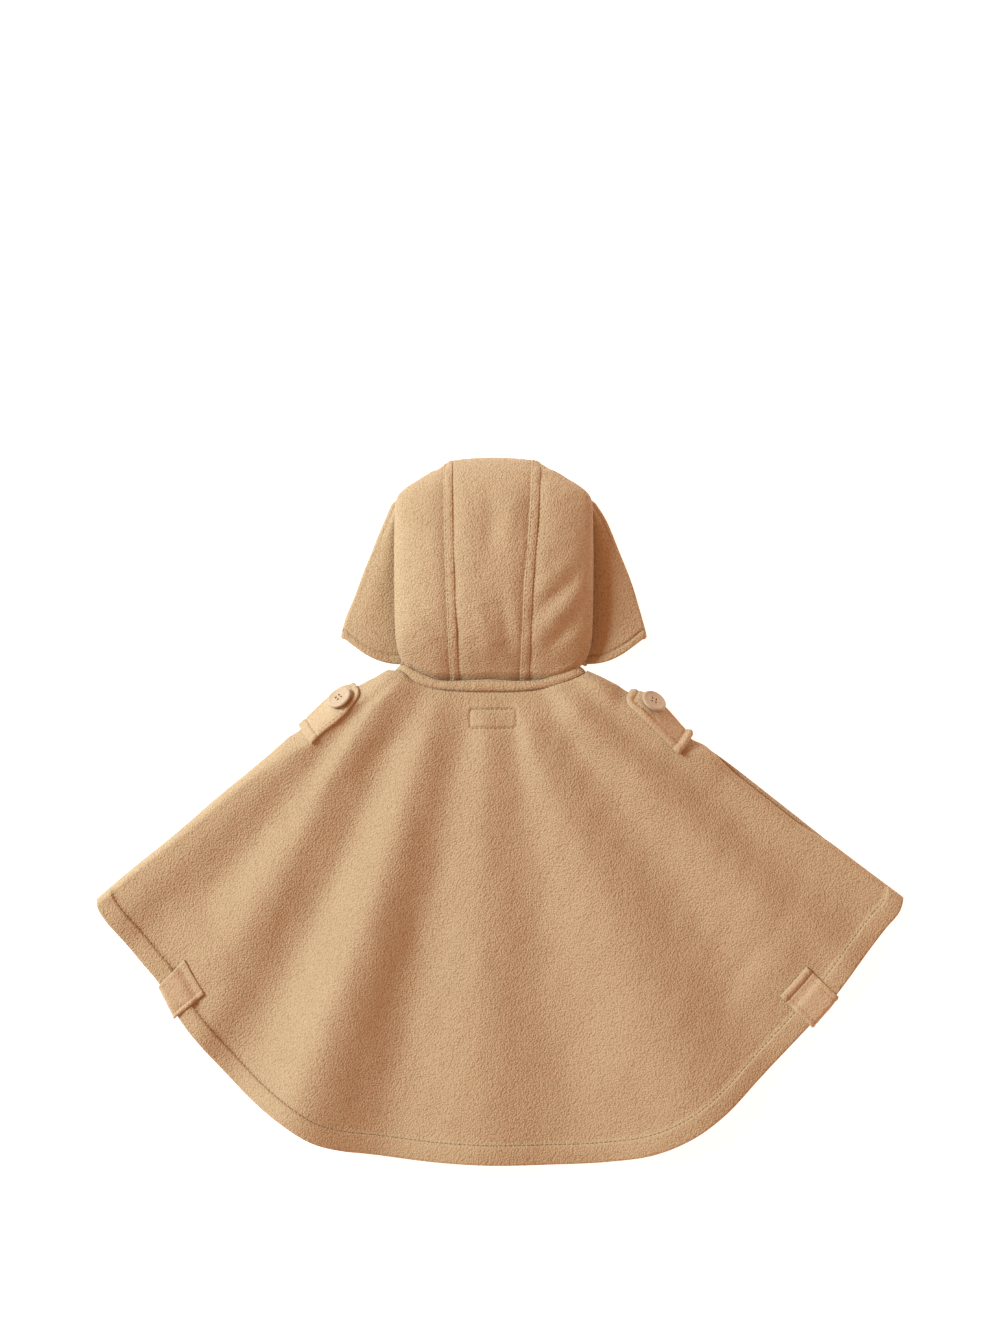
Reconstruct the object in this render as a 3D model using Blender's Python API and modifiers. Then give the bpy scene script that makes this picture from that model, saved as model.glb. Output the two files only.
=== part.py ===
# Hooded poncho for a toddler, in fleece, lying face down with its back up.
# The tables are in millimetres and degrees, and the scene is in metres.
# X runs across the garment, Y from the hem to the crown, Z up from the surface it lies on.
# Angles open round the yoke point, from straight down to the hem, positive to the right.

import math
from collections import namedtuple

import bmesh
import bpy
import numpy as np
from mathutils import Matrix, Vector

MM = 0.001
CLOTH = 3.0
SEAM_GAP = 0.3
LAY_GAP = 0.45

# The yoke point that the folds fan out from, and the line of the crown.
YOKE_X = -12.75
YOKE_Y = 178.9
CROWN_Y = 300.0
HOOD_X = -5.3

# The turned hem, and how far the fronts stop short of it.
HEM_WIDTH = 17.0
HEM_EXTRA = 1.4
FRONT_HEM_EXTRA = 1.0
FRONT_SHORT = 1.5
CENTRE_FRONT_X = -4.3

# Straps that wrap an edge, each laid over the cloth and under the fronts.
STRAP = 2.5
STRAP_LIFT = 2.9
STRAP_GAP = 0.9

Hem = namedtuple("Hem", "angle reach")
HEM = (
    Hem(-52.3, 416.4),
    Hem(-51.4, 419.6),
    Hem(-50.0, 420.9),
    Hem(-46.7, 421.5),
    Hem(-43.1, 424.0),
    Hem(-40.4, 426.8),
    Hem(-38.0, 433.6),
    Hem(-35.4, 441.6),
    Hem(-32.1, 449.5),
    Hem(-28.8, 457.6),
    Hem(-25.4, 466.5),
    Hem(-21.5, 475.1),
    Hem(-17.2, 482.4),
    Hem(-14.6, 482.2),
    Hem(-12.3, 480.4),
    Hem(-6.1, 478.7),
    Hem(0.0, 479.0),
    Hem(6.1, 481.7),
    Hem(12.1, 487.6),
    Hem(17.2, 491.6),
    Hem(21.4, 488.5),
    Hem(25.1, 481.0),
    Hem(29.3, 469.2),
    Hem(33.7, 459.7),
    Hem(41.1, 448.8),
    Hem(45.6, 442.4),
    Hem(50.6, 439.7),
    Hem(53.4, 439.3),
    Hem(54.6, 435.6),
)

Shoulder = namedtuple("Shoulder", "reach left right")
SHOULDER = (
    Shoulder(92.0, -53.6, 54.2),
    Shoulder(104.0, -54.6, 55.2),
    Shoulder(117.0, -55.2, 56.5),
    Shoulder(130.0, -57.2, 57.2),
    Shoulder(143.7, -58.8, 58.3),
    Shoulder(153.8, -58.4, 59.6),
    Shoulder(163.3, -57.7, 60.3),
    Shoulder(174.5, -57.0, 59.6),
    Shoulder(186.0, -56.2, 58.5),
    Shoulder(202.0, -55.2, 57.2),
    Shoulder(216.0, -54.7, 56.7),
    Shoulder(245.0, -54.1, 56.3),
    Shoulder(278.0, -53.7, 55.8),
    Shoulder(327.0, -53.0, 55.2),
    Shoulder(385.0, -52.7, 54.8),
    Shoulder(440.0, -52.2, 54.6),
)

# Where the back and the fronts start, each way round the neck.
Neck = namedtuple("Neck", "angle back front")
NECK = (
    Neck(-56.0, 105.0, 106.0),
    Neck(-51.0, 95.4, 101.0),
    Neck(-41.0, 92.0, 99.5),
    Neck(-29.0, 85.8, 100.0),
    Neck(-12.5, 78.9, 102.0),
    Neck(4.4, 77.6, 103.0),
    Neck(20.0, 82.0, 104.0),
    Neck(32.5, 88.7, 105.0),
    Neck(45.4, 98.0, 106.0),
    Neck(53.0, 104.5, 107.0),
    Neck(58.0, 107.0, 108.0),
)

# The folds of the back, valley and crest in turn, from the left shoulder to the right.
Fold = namedtuple("Fold", "at_yoke at_hem rise_yoke rise_hem")
FOLDS = (
    Fold(-66.0, -62.0, 2.0, 3.0),
    Fold(-53.0, -50.2, 4.0, 9.0),
    Fold(-49.4, -43.4, 2.6, 0.4),
    Fold(-45.6, -36.2, 6.6, 13.0),
    Fold(-33.6, -28.4, 0.4, 0.4),
    Fold(-22.5, -19.6, 6.5, 24.0),
    Fold(-9.3, -9.8, 0.5, 0.4),
    Fold(0.6, -0.3, 4.0, 10.5),
    Fold(11.5, 9.4, 0.6, 0.8),
    Fold(18.6, 22.6, 5.5, 16.5),
    Fold(31.2, 33.8, 0.5, 0.6),
    Fold(38.6, 42.4, 8.0, 14.5),
    Fold(48.2, 50.0, 0.8, 0.6),
    Fold(54.5, 55.0, 4.5, 6.0),
    Fold(68.0, 64.0, 2.0, 3.0),
)

# How far the yoke is held up by the hood's seam, and how wide its shoulder fold is.
Yoke = namedtuple("Yoke", "reach lift roll")
YOKE = (
    Yoke(80.0, 10.4, 11.0),
    Yoke(110.0, 10.6, 12.0),
    Yoke(150.0, 9.8, 17.0),
    Yoke(190.0, 7.8, 16.0),
    Yoke(235.0, 4.6, 10.0),
    Yoke(300.0, 1.8, 7.5),
    Yoke(380.0, 0.5, 6.0),
    Yoke(480.0, 0.0, 6.0),
)

# Shoulder tabs run along the shoulder fold, from their round tip to their sewn end.
ShoulderTab = namedtuple("ShoulderTab", "side tip end width button tilt")
SHOULDER_TABS = {
    "left": ShoulderTab(-1, 131.0, 191.0, 21.0, 148.5, 50.0),
    "right": ShoulderTab(1, 145.0, 210.5, 20.0, 166.8, 50.0),
}

# Hem tabs wrap the hem between two angles, reaching this far up the back.
HemTab = namedtuple("HemTab", "start end over under")
HEM_TABS = {
    "left": HemTab(-40.2, -36.0, 30.0, 26.0),
    "right": HemTab(36.9, 41.2, 36.0, 26.0),
}

# The hood, by the drop from the crown. Contour is the half width of its full part.
# Flare is the half width of the rim parts that spread beside it.
Hood = namedtuple("Hood", "drop contour flare height side under")
HOOD = (
    Hood(0.0, 41.4, 41.4, 5.0, 5.0, 5.0),
    Hood(1.0, 41.4, 41.4, 10.0, 6.8, 2.2),
    Hood(3.0, 41.4, 41.4, 14.5, 8.2, 0.7),
    Hood(5.0, 42.0, 42.0, 17.5, 9.2, 0.1),
    Hood(8.0, 46.0, 46.0, 21.0, 10.4, 0.0),
    Hood(11.5, 51.8, 51.8, 24.5, 11.6, 0.0),
    Hood(18.3, 62.5, 62.5, 29.5, 13.2, 0.0),
    Hood(25.0, 73.1, 73.1, 33.5, 14.6, 0.0),
    Hood(31.9, 80.6, 82.0, 36.6, 15.8, 0.0),
    Hood(38.7, 83.2, 86.3, 39.0, 16.6, 0.0),
    Hood(52.0, 83.9, 93.5, 42.4, 17.6, 0.0),
    Hood(66.0, 84.2, 99.6, 45.0, 18.2, 0.0),
    Hood(79.5, 84.4, 104.9, 47.0, 18.6, 0.0),
    Hood(100.0, 84.4, 113.2, 48.6, 18.8, 0.0),
    Hood(120.0, 84.2, 120.2, 48.2, 18.4, 0.0),
    Hood(140.0, 83.8, 127.0, 45.0, 17.4, 0.0),
    Hood(152.6, 83.2, 130.0, 40.6, 16.2, 0.0),
    Hood(163.0, 81.6, 131.0, 34.6, 14.6, 0.0),
    Hood(171.0, 78.6, 131.5, 29.0, 13.2, 0.0),
    Hood(178.0, 75.0, 132.0, 24.0, 12.6, 0.0),
    Hood(184.0, 72.0, 132.0, 20.4, 12.2, 0.0),
    Hood(192.0, 68.0, 132.0, 17.4, 12.0, 0.0),
)

# The seams between the centre strip and the side panels.
HoodSeam = namedtuple("HoodSeam", "drop left right")
HOOD_SEAMS = (
    HoodSeam(0.0, 38.6, 36.1),
    HoodSeam(30.0, 38.4, 35.0),
    HoodSeam(70.0, 37.6, 32.6),
    HoodSeam(110.0, 36.4, 29.4),
    HoodSeam(150.0, 34.8, 27.6),
    HoodSeam(192.0, 33.0, 26.0),
)

# Lower edges of the hood: where it meets the neck band, and the rim of its flares.
Nape = namedtuple("Nape", "across drop")
NAPE = (
    Nape(0.0, 187.6),
    Nape(42.0, 187.4),
    Nape(50.0, 185.6),
    Nape(61.0, 181.4),
    Nape(70.0, 176.6),
    Nape(80.0, 171.4),
)
Rim = namedtuple("Rim", "across drop")
RIM = (
    Rim(74.0, 175.6),
    Rim(81.4, 175.6),
    Rim(90.7, 174.4),
    Rim(106.9, 167.9),
    Rim(118.0, 161.0),
    Rim(129.0, 153.6),
)
FOREHEAD = 152.0

# Soft creases where the hood gathers above the neck, as long dents or swells.
Crease = namedtuple("Crease", "across drop turn length width rise")
CREASES = (
    Crease(47.0, 118.0, 52.0, 34.0, 8.0, 2.0),
    Crease(43.0, 106.0, 50.0, 34.0, 7.0, -2.2),
    Crease(54.0, 148.0, 30.0, 30.0, 9.0, 2.4),
    Crease(42.0, 136.0, 32.0, 32.0, 7.0, -2.0),
    Crease(3.0, 156.0, -8.0, 26.0, 8.0, -2.4),
    Crease(-52.0, 140.0, -42.0, 34.0, 10.0, -1.8),
    Crease(-20.0, 146.0, 12.0, 26.0, 8.0, 1.6),
)

# The neck band, its width across the seam and its rise at the nape.
BAND_WIDTH = 8.4
BAND_TOP = 18.6
BAND_LEFT = -50.6
BAND_RIGHT = 53.4
Band = namedtuple("Band", "angle inner outer")
BAND = (
    Band(-56.0, 87.4, 94.0),
    Band(-50.2, 86.6, 93.2),
    Band(-41.2, 82.6, 90.9),
    Band(-31.8, 79.2, 86.4),
    Band(-15.0, 70.8, 79.2),
    Band(3.6, 67.6, 77.1),
    Band(20.0, 73.0, 81.5),
    Band(36.8, 83.6, 91.0),
    Band(43.0, 87.4, 95.6),
    Band(52.6, 94.4, 103.0),
    Band(60.0, 97.0, 104.0),
)

BUTTON_RADIUS = 11.0
BUTTON_THICK = 3.4
BUTTON_RIM = 1.0
BUTTON_DISH = 8.2
HOLE_RADIUS = 0.95
HOLE_OFFSET = 2.5


def along(table, field, place):
    """Smooth reading of one column of a table at a place in its first column."""
    places = np.array([row[0] for row in table])
    values = np.array([getattr(row, field) for row in table])
    slopes = np.gradient(values, places)
    place = np.clip(np.asarray(place, float), places[0], places[-1])
    first = np.clip(np.searchsorted(places, place, side="right") - 1, 0, len(places) - 2)
    span = places[first + 1] - places[first]
    t = (place - places[first]) / span
    start = (1 + 2 * t) * (1 - t) ** 2 * values[first]
    end = t * t * (3 - 2 * t) * values[first + 1]
    lean = t * (1 - t) ** 2 * slopes[first] - t * t * (1 - t) * slopes[first + 1]
    return start + end + lean * span


def ramp(value, start, end):
    """Zero before start, one after end, smooth between."""
    t = np.clip((np.asarray(value, float) - start) / (end - start), 0, 1)
    return t * t * (3 - 2 * t)


def from_polar(angle, reach):
    turn = np.radians(angle)
    return YOKE_X + reach * np.sin(turn), YOKE_Y - reach * np.cos(turn)


def to_polar(x, y):
    across = np.asarray(x, float) - YOKE_X
    down = YOKE_Y - np.asarray(y, float)
    return np.degrees(np.arctan2(across, down)), np.hypot(across, down)


def side_name(side):
    return "left" if side < 0 else "right"


def shoulder_inset(side, reach):
    """The cloth stops a strap's thickness inside the outline under each shoulder tab."""
    tab = SHOULDER_TABS[side_name(side)]
    begun = ramp(reach, tab.tip - 14, tab.tip + 1)
    return 2.9 * begun * (1 - ramp(reach, tab.end, tab.end + 14))


def seam_inset(side, reach):
    """On the right, the front shows past the shoulder seam."""
    if side < 0:
        return 0.0 * reach
    return 3.8 * ramp(reach, 222, 262) * (1 - ramp(reach, 322, 362))


def shoulder_angle(side, reach, inset=0.0):
    edge = along(SHOULDER, side_name(side), reach)
    inward = inset + shoulder_inset(side, reach)
    return edge - side * np.degrees(inward / reach)


def from_shoulder(side, angle, reach):
    """Distance from the cloth's shoulder edge, positive inside."""
    return side * (shoulder_angle(side, reach) - angle) * reach * math.pi / 180


def strap_share(angle, reach):
    """One where a strap passes between the fronts and the surface, falling away round it."""
    soft = 30.0
    margin = 15.0
    share = np.zeros(np.broadcast(angle, reach).shape)
    for tab in SHOULDER_TABS.values():
        inside = from_shoulder(tab.side, angle, reach)
        here = ramp(reach, tab.tip - margin - soft, tab.tip - margin)
        here = here * (1 - ramp(reach, tab.end + margin, tab.end + margin + soft))
        here = here * (1 - ramp(inside, tab.width + margin, tab.width + margin + soft))
        share = np.maximum(share, here)
    for tab in HEM_TABS.values():
        middle = (tab.start + tab.end) / 2
        half = (tab.end - tab.start) / 2
        beside = (np.abs(angle - middle) - half) * reach * math.pi / 180
        inside = along(HEM, "reach", angle) - reach
        here = 1 - ramp(beside, margin, margin + soft)
        here = here * (1 - ramp(inside, tab.over + margin, tab.over + margin + soft))
        share = np.maximum(share, here)
    return share


def front_under(angle, reach):
    return STRAP_LIFT * strap_share(angle, reach)


def front_top(angle, reach):
    hem = ramp(along(HEM, "reach", angle) - reach, HEM_WIDTH + 3, HEM_WIDTH)
    return front_under(angle, reach) + CLOTH + FRONT_HEM_EXTRA * hem


def hem_share(angle, reach):
    inside = along(HEM, "reach", angle) - reach
    return 1 - ramp(inside, HEM_WIDTH - 1, HEM_WIDTH + 2)


def fold_rise(angle, reach):
    spread = 1 - (1 - np.clip((reach - 130) / 300, 0, 1)) ** 3
    grown = ramp(reach, 95, 420)
    begun = ramp(reach, 78, 128)
    rise = np.zeros(np.broadcast(angle, reach).shape)
    for left, right in zip(FOLDS, FOLDS[1:]):
        left_at = left.at_yoke + (left.at_hem - left.at_yoke) * spread
        right_at = right.at_yoke + (right.at_hem - right.at_yoke) * spread
        left_rise = left.rise_yoke * begun * (1 - grown) + left.rise_hem * grown
        right_rise = right.rise_yoke * begun * (1 - grown) + right.rise_hem * grown
        t = (angle - left_at) / (right_at - left_at)
        here = left_rise + (right_rise - left_rise) * t * t * (3 - 2 * t)
        rise = np.where((t >= 0) & (t < 1), here, rise)
    held = 1 - 0.78 * hem_tab_hold(angle, reach)
    return rise * held


def hem_tab_hold(angle, reach):
    """The hem tabs hold the folds down close to them."""
    hold = np.zeros(np.broadcast(angle, reach).shape)
    for tab in HEM_TABS.values():
        middle = (tab.start + tab.end) / 2
        beside = np.abs(angle - middle) * reach * math.pi / 180
        inside = along(HEM, "reach", angle) - reach
        here = (1 - ramp(beside, 12, 66)) * (1 - ramp(inside, 20, 105))
        hold = np.maximum(hold, here)
    return hold


def back_thickness(angle, reach):
    return CLOTH + HEM_EXTRA * hem_share(angle, reach)


def back_rest(angle, reach):
    """Lowest the back may lie over the fronts, with a little more room where they rise over a strap."""
    share = strap_share(angle, reach)
    return front_top(angle, reach) + LAY_GAP + 1.6 * share * (1 - share)


def back_height(angle, reach):
    """Top of the back panel over the surface, rolled down to the fronts at the shoulders."""
    rest = back_rest(angle, reach)
    full = rest + back_thickness(angle, reach) + along(YOKE, "lift", reach)
    full = full + fold_rise(angle, reach)
    roll = along(YOKE, "roll", reach)
    height = full
    for side in (-1, 1):
        inside = from_shoulder(side, angle, reach) - seam_inset(side, reach)
        share = np.clip(inside / roll, 0, 1)
        tab = SHOULDER_TABS[side_name(side)]
        straight = ramp(reach, tab.tip - 26, tab.tip - 2)
        straight = straight * (1 - ramp(reach, tab.end + 2, tab.end + 30))
        round_fold = np.sqrt(np.maximum(1 - (1 - share) ** 2, 0))
        slope_fold = 1 - (1 - share) ** 1.5
        shape = round_fold + (slope_fold - round_fold) * straight
        height = rest + 0.1 + (height - rest - 0.1) * shape
    return height


def grid_normals(points):
    """Unit normals of a grid of points, turned to the right of its columns."""
    down = np.gradient(points, axis=0)
    across = np.gradient(points, axis=1)
    normals = np.cross(across, down)
    length = np.linalg.norm(normals, axis=2, keepdims=True)
    return normals / np.maximum(length, 1e-9)


def material_for(name, colour, roughness):
    material = bpy.data.materials.new(name)
    material.use_nodes = True
    shader = material.node_tree.nodes["Principled BSDF"]
    shader.inputs["Base Color"].default_value = (*colour, 1.0)
    shader.inputs["Roughness"].default_value = roughness
    shader.inputs["Metallic"].default_value = 0.0
    return material


def place_mesh(name, vertices, faces, material, collection):
    mesh = bpy.data.meshes.new(name)
    mesh.from_pydata([tuple(v) for v in np.asarray(vertices) * MM], [], faces)
    work = bmesh.new()
    work.from_mesh(mesh)
    if work.calc_volume(signed=True) < 0:
        bmesh.ops.reverse_faces(work, faces=work.faces)
    for face in work.faces:
        face.smooth = True
    work.to_mesh(mesh)
    work.free()
    mesh.materials.append(material)
    made = bpy.data.objects.new(name, mesh)
    collection.objects.link(made)
    return made


def cloth_panel(name, outer, inner, material, collection, ring=False):
    """A panel between two grids of points, closed round its edge. A ring joins its last row to its first."""
    rows, columns = outer.shape[:2]
    vertices = np.concatenate([outer.reshape(-1, 3), inner.reshape(-1, 3)])
    back = rows * columns
    faces = []
    steps = rows if ring else rows - 1

    def spot(row, column):
        return (row % rows) * columns + column

    for row in range(steps):
        for column in range(columns - 1):
            a = spot(row, column)
            b = spot(row, column + 1)
            c = spot(row + 1, column + 1)
            d = spot(row + 1, column)
            faces.append((a, b, c, d))
            faces.append((back + d, back + c, back + b, back + a))
        for column, flip in ((0, False), (columns - 1, True)):
            a = spot(row, column)
            b = spot(row + 1, column)
            quad = (a, b, back + b, back + a)
            faces.append(quad[::-1] if flip else quad)
    if not ring:
        for row, flip in ((0, True), (rows - 1, False)):
            for column in range(columns - 1):
                a = spot(row, column)
                b = spot(row, column + 1)
                quad = (a, b, back + b, back + a)
                faces.append(quad[::-1] if flip else quad)
    return place_mesh(name, vertices, faces, material, collection)


# The back and the fronts, each a fan of rows from the neck to the hem.

EDGE_STEPS = (0.0, 0.07, 0.24, 0.5, 0.78, 1.05)
HEM_STEPS = (18.8, 15.8, 8.0, 2.4, 0.8, 0.0)
BACK_ROWS = 19
BACK_MIDDLE = 43
FRONT_ROWS = 13
FRONT_MIDDLE = 17


def fan_reach(start, hem, row, rows):
    """Reach of one row, evenly from the neck and then by the steps of the hem."""
    if row < rows:
        share = (row / rows) ** 1.15
        return start + (hem - HEM_STEPS[0] - start) * share
    return hem - HEM_STEPS[row - rows]


def back_grid():
    columns = 2 * len(EDGE_STEPS) + BACK_MIDDLE
    rows = BACK_ROWS + len(HEM_STEPS)
    angles = np.zeros((rows, columns))
    reaches = np.zeros((rows, columns))
    for row in range(rows):
        angle = np.linspace(-53, 54, columns)
        for _ in range(6):
            hem = along(HEM, "reach", angle)
            reach = fan_reach(along(NECK, "back", angle), hem, row, BACK_ROWS)
            roll = along(YOKE, "roll", reach)
            left_in = seam_inset(-1, reach)
            right_in = seam_inset(1, reach)
            left = shoulder_angle(-1, reach) + np.degrees(left_in / reach)
            right = shoulder_angle(1, reach) - np.degrees(right_in / reach)
            steps = np.array(EDGE_STEPS)
            count = len(steps)
            angle = angle.copy()
            left_move = steps * roll[:count] / reach[:count]
            right_move = steps[::-1] * roll[-count:] / reach[-count:]
            angle[:count] = left[:count] + np.degrees(left_move)
            angle[-count:] = right[-count:] - np.degrees(right_move)
            first = angle[count - 1]
            last = angle[-count]
            angle[count - 1 : columns - count + 1] = np.linspace(first, last, BACK_MIDDLE + 2)
        angles[row] = angle
        reaches[row] = reach
    return angles, reaches


def back_panel(material, collection):
    angles, reaches = back_grid()
    x, y = from_polar(angles, reaches)
    outer = np.stack([x, y, back_height(angles, reaches)], axis=2)
    normals = grid_normals(outer)
    normals *= np.sign(np.median(normals[..., 2]))
    thickness = back_thickness(angles, reaches)
    inner = outer - normals * thickness[..., None]
    inner_angle, inner_reach = to_polar(inner[..., 0], inner[..., 1])
    floor = back_rest(inner_angle, inner_reach)
    inner[..., 2] = np.maximum(inner[..., 2], floor)
    # The turned edge of the hem is round.
    outer[-1, :, 2] -= 1.3
    inner[-1, :, 2] += 1.3
    outer[-2, :, 2] -= 0.45
    inner[-2, :, 2] += 0.45
    inner[-1, :, :2] = outer[-1, :, :2]
    inner[-2, :, :2] = outer[-2, :, :2]
    return cloth_panel("back_panel", outer, inner, material, collection)


def front_panel(side, material, collection):
    columns = 5 + FRONT_MIDDLE
    rows = FRONT_ROWS + len(HEM_STEPS)
    angles = np.zeros((rows, columns))
    reaches = np.zeros((rows, columns))
    steps = np.array((0.0, 0.9, 3.0, 9.0, 18.0))
    for row in range(rows):
        angle = np.linspace(side * 52, side * 3, columns)
        for _ in range(6):
            hem = along(HEM, "reach", angle) - FRONT_SHORT
            reach = fan_reach(along(NECK, "front", angle), hem, row, FRONT_ROWS)
            outside = 0.5 - 0.5 * seam_inset(side, reach) / 3.8
            edge = shoulder_angle(side, reach, outside)
            centre = np.degrees(np.arcsin((CENTRE_FRONT_X + side * 0.15 - YOKE_X) / reach))
            angle = angle.copy()
            angle[:5] = edge[:5] - side * np.degrees(steps / reach[:5])
            share = np.arange(1, FRONT_MIDDLE + 1) / FRONT_MIDDLE
            angle[5:] = angle[4] + (centre[5:] - angle[4]) * share
        angles[row] = angle
        reaches[row] = reach
    x, y = from_polar(angles, reaches)
    under = front_under(angles, reaches)
    top = front_top(angles, reaches)
    outer = np.stack([x, y, top], axis=2)
    inner = np.stack([x, y, under], axis=2)
    outer[:, 0, 2] -= 0.8
    outer[-1, :, 2] -= 0.8
    name = "front_" + side_name(side)
    return cloth_panel(name, outer, inner, material, collection)


# The hood, a bag folded round the crown, its side panels tucked and flared at the rim.

SIDE_ROWS = (0.0, 0.035, 0.095, 0.17, 0.26, 0.36, 0.46, 0.56, 0.655, 0.74, 0.81, 0.865, 0.91, 0.947, 0.975)
ARCH_STEPS = 9
TUCK_STEPS = 3
FLARE_STEPS = 5
FOLD_STEPS = 4
UNDER_STEPS = 3
CROWN_END = 5.0
SEAM_STRIP = 3.5
ARCH_POWER = 0.85


def crown_shift(across, drop):
    """The crown's edge falls back a little to each side."""
    reach = np.minimum(np.abs(across), 40.0) / 40.0
    return 3.3 * reach**2 * np.clip(1 - drop / 12, 0, 1)


def crease_rise(across, drop):
    total = np.zeros(np.broadcast(across, drop).shape)
    for crease in CREASES:
        turn = math.radians(crease.turn)
        dx = across - crease.across
        dy = drop - crease.drop
        lengthwise = dy * math.cos(turn) - dx * math.sin(turn)
        crosswise = dx * math.cos(turn) + dy * math.sin(turn)
        away = (lengthwise / crease.length) ** 2 + (crosswise / crease.width) ** 2
        total = total + crease.rise * np.exp(-2 * away)
    return total


def arch_height(across, drop):
    contour = along(HOOD, "contour", drop)
    side = along(HOOD, "side", drop)
    height = along(HOOD, "height", drop)
    share = np.clip(np.abs(across) / contour, 0, 1) ** (1 / ARCH_POWER)
    arch = side + (height - side) * np.sqrt(np.maximum(1 - share**2, 0)) ** 0.9
    soft = ramp(1 - share, 0.0, 0.25) * ramp(drop, 60, 90) * (1 - ramp(drop, 170, 186))
    return arch + crease_rise(across, drop) * soft


def seam_place(side, drop):
    return along(HOOD_SEAMS, side_name(side), drop)


def under_rise(drop):
    return max(float(along(HOOD, "under", drop)), 0.0)


def section_point(side, column, drop, turn):
    """One point of a hood side panel's section at a drop from the crown: across and up."""
    contour = float(along(HOOD, "contour", drop))
    flare = float(along(HOOD, "flare", drop))
    side_rise = float(along(HOOD, "side", drop))
    under = under_rise(drop)
    if column <= ARCH_STEPS:
        across = contour * math.sin(turn) ** ARCH_POWER
        return across, float(arch_height(np.array(side * across), np.array(drop)))
    spread = min(max((flare - contour) / 7.0, 0.0), 1.0)
    spread = spread * spread * (3 - 2 * spread)
    count = TUCK_STEPS + FLARE_STEPS + FOLD_STEPS
    step = column - ARCH_STEPS
    seam = float(seam_place(side, drop)) + SEAM_GAP / 2
    curl = min(8.5, side_rise, (contour - seam) * 0.6)
    edge = max(flare, contour + 4.0)
    if step <= count:
        part = step / count * math.pi / 2
        plain_x = contour - curl * (1 - math.cos(part))
        plain_z = under + (side_rise - under) * (1 - math.sin(part))
        tuck = 0.8 + 4.2 * (1 - float(ramp(drop, 156, 174)))
        valley = 8.6
        if step <= TUCK_STEPS:
            share = step / TUCK_STEPS
            full_x = contour - tuck * math.sin(share * math.pi / 2) ** 1.3
            full_z = side_rise + (valley - side_rise) * share
        elif step <= TUCK_STEPS + FLARE_STEPS:
            share = (step - TUCK_STEPS) / FLARE_STEPS
            full_x = contour - tuck + (edge - 4.0 - contour + tuck) * share
            full_z = valley + (8.0 - valley) * share + 2.2 * math.sin(share * math.pi)
        else:
            share = (step - TUCK_STEPS - FLARE_STEPS) / FOLD_STEPS * math.pi
            full_x = edge - 4.0 + 4.0 * math.sin(share)
            full_z = 4.0 + 4.0 * math.cos(share)
        return plain_x + (full_x - plain_x) * spread, plain_z + (full_z - plain_z) * spread
    start_plain = contour - curl
    start = start_plain + (edge - 4.0 - start_plain) * spread
    share = (step - count) / UNDER_STEPS
    return start + (seam - start) * share, under


def side_bottom(column, turn):
    """Drop at which each column of a side panel ends: neck band, tuck, rim or forehead."""
    if column <= ARCH_STEPS:
        return float(along(NAPE, "drop", 80 * math.sin(turn) ** ARCH_POWER))
    step = column - ARCH_STEPS
    if step <= TUCK_STEPS:
        start = float(along(NAPE, "drop", 80.0))
        return start + (RIM[0].drop - start) * step / TUCK_STEPS
    if step <= TUCK_STEPS + FLARE_STEPS:
        share = (step - TUCK_STEPS) / FLARE_STEPS
        return float(along(RIM, "drop", 74.5 + (127.0 - 74.5) * share))
    share = (step - TUCK_STEPS - FLARE_STEPS) / FOLD_STEPS
    start = float(along(RIM, "drop", 127.0))
    return start + (FOREHEAD - start) * min(share, 1.0)


def hood_point(side, across, drop, up):
    y = CROWN_Y - drop - float(crown_shift(across, drop))
    return (HOOD_X + side * across, y, up)


def hood_side_grid(side):
    columns = ARCH_STEPS + TUCK_STEPS + FLARE_STEPS + FOLD_STEPS + UNDER_STEPS + 1
    grid = np.zeros((len(SIDE_ROWS) + 1, columns, 3))
    for column in range(columns):
        for row, share in enumerate(SIDE_ROWS):
            drop = 0.0
            turn = math.pi / 2
            arch_share = min(column / ARCH_STEPS, 1.0)
            for _ in range(3):
                contour = float(along(HOOD, "contour", drop if drop else 170.0))
                seam = float(seam_place(side, drop)) + SEAM_GAP / 2
                first = math.asin(min(seam / contour, 1.0) ** (1 / ARCH_POWER))
                turn = first + (math.pi / 2 - first) * arch_share
                bottom = side_bottom(column, turn)
                drop = bottom + (CROWN_END - bottom) * share
            across, up = section_point(side, column, drop, turn)
            if column == 0:
                across = seam
                up = float(arch_height(np.array(side * seam), np.array(drop)))
            grid[row, column] = hood_point(side, across, drop, up)
        # The last row follows the seam round the crown.
        share = column / (columns - 1)
        drop = CROWN_END * abs(1 - 2 * share) ** 1.4
        seam = float(seam_place(side, drop)) + SEAM_GAP / 2
        if share < 0.5:
            up = float(arch_height(np.array(side * seam), np.array(drop)))
        else:
            up = under_rise(drop)
        grid[-1, column] = hood_point(side, seam, drop, up)
    return grid


def strip_point(across, run):
    """The hood's outside at a run from the crown, positive on top and negative on the underside."""
    drop = abs(run)
    if run >= 0:
        up = float(arch_height(np.array(across), np.array(drop)))
    else:
        up = under_rise(drop)
    return np.array(hood_point(1, across, drop, up))


def strip_inside(across, run):
    """The matching point on the inside of the cloth."""
    sideways = strip_point(across + 0.5, run) - strip_point(across - 0.5, run)
    onward = strip_point(across, run + 0.4) - strip_point(across, run - 0.4)
    normal = np.cross(sideways, -onward)
    return strip_point(across, run) - normal / np.linalg.norm(normal) * CLOTH


def drop_at(across, y):
    """The drop whose point lies at this height in the plan."""
    drop = CROWN_Y - y
    for _ in range(20):
        drop = CROWN_Y - y - float(crown_shift(across, drop))
    return max(drop, 0.0)


def seam_inside(side, point, way):
    across = point[0] - HOOD_X
    return strip_inside(across, way * drop_at(across, point[1]))


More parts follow.
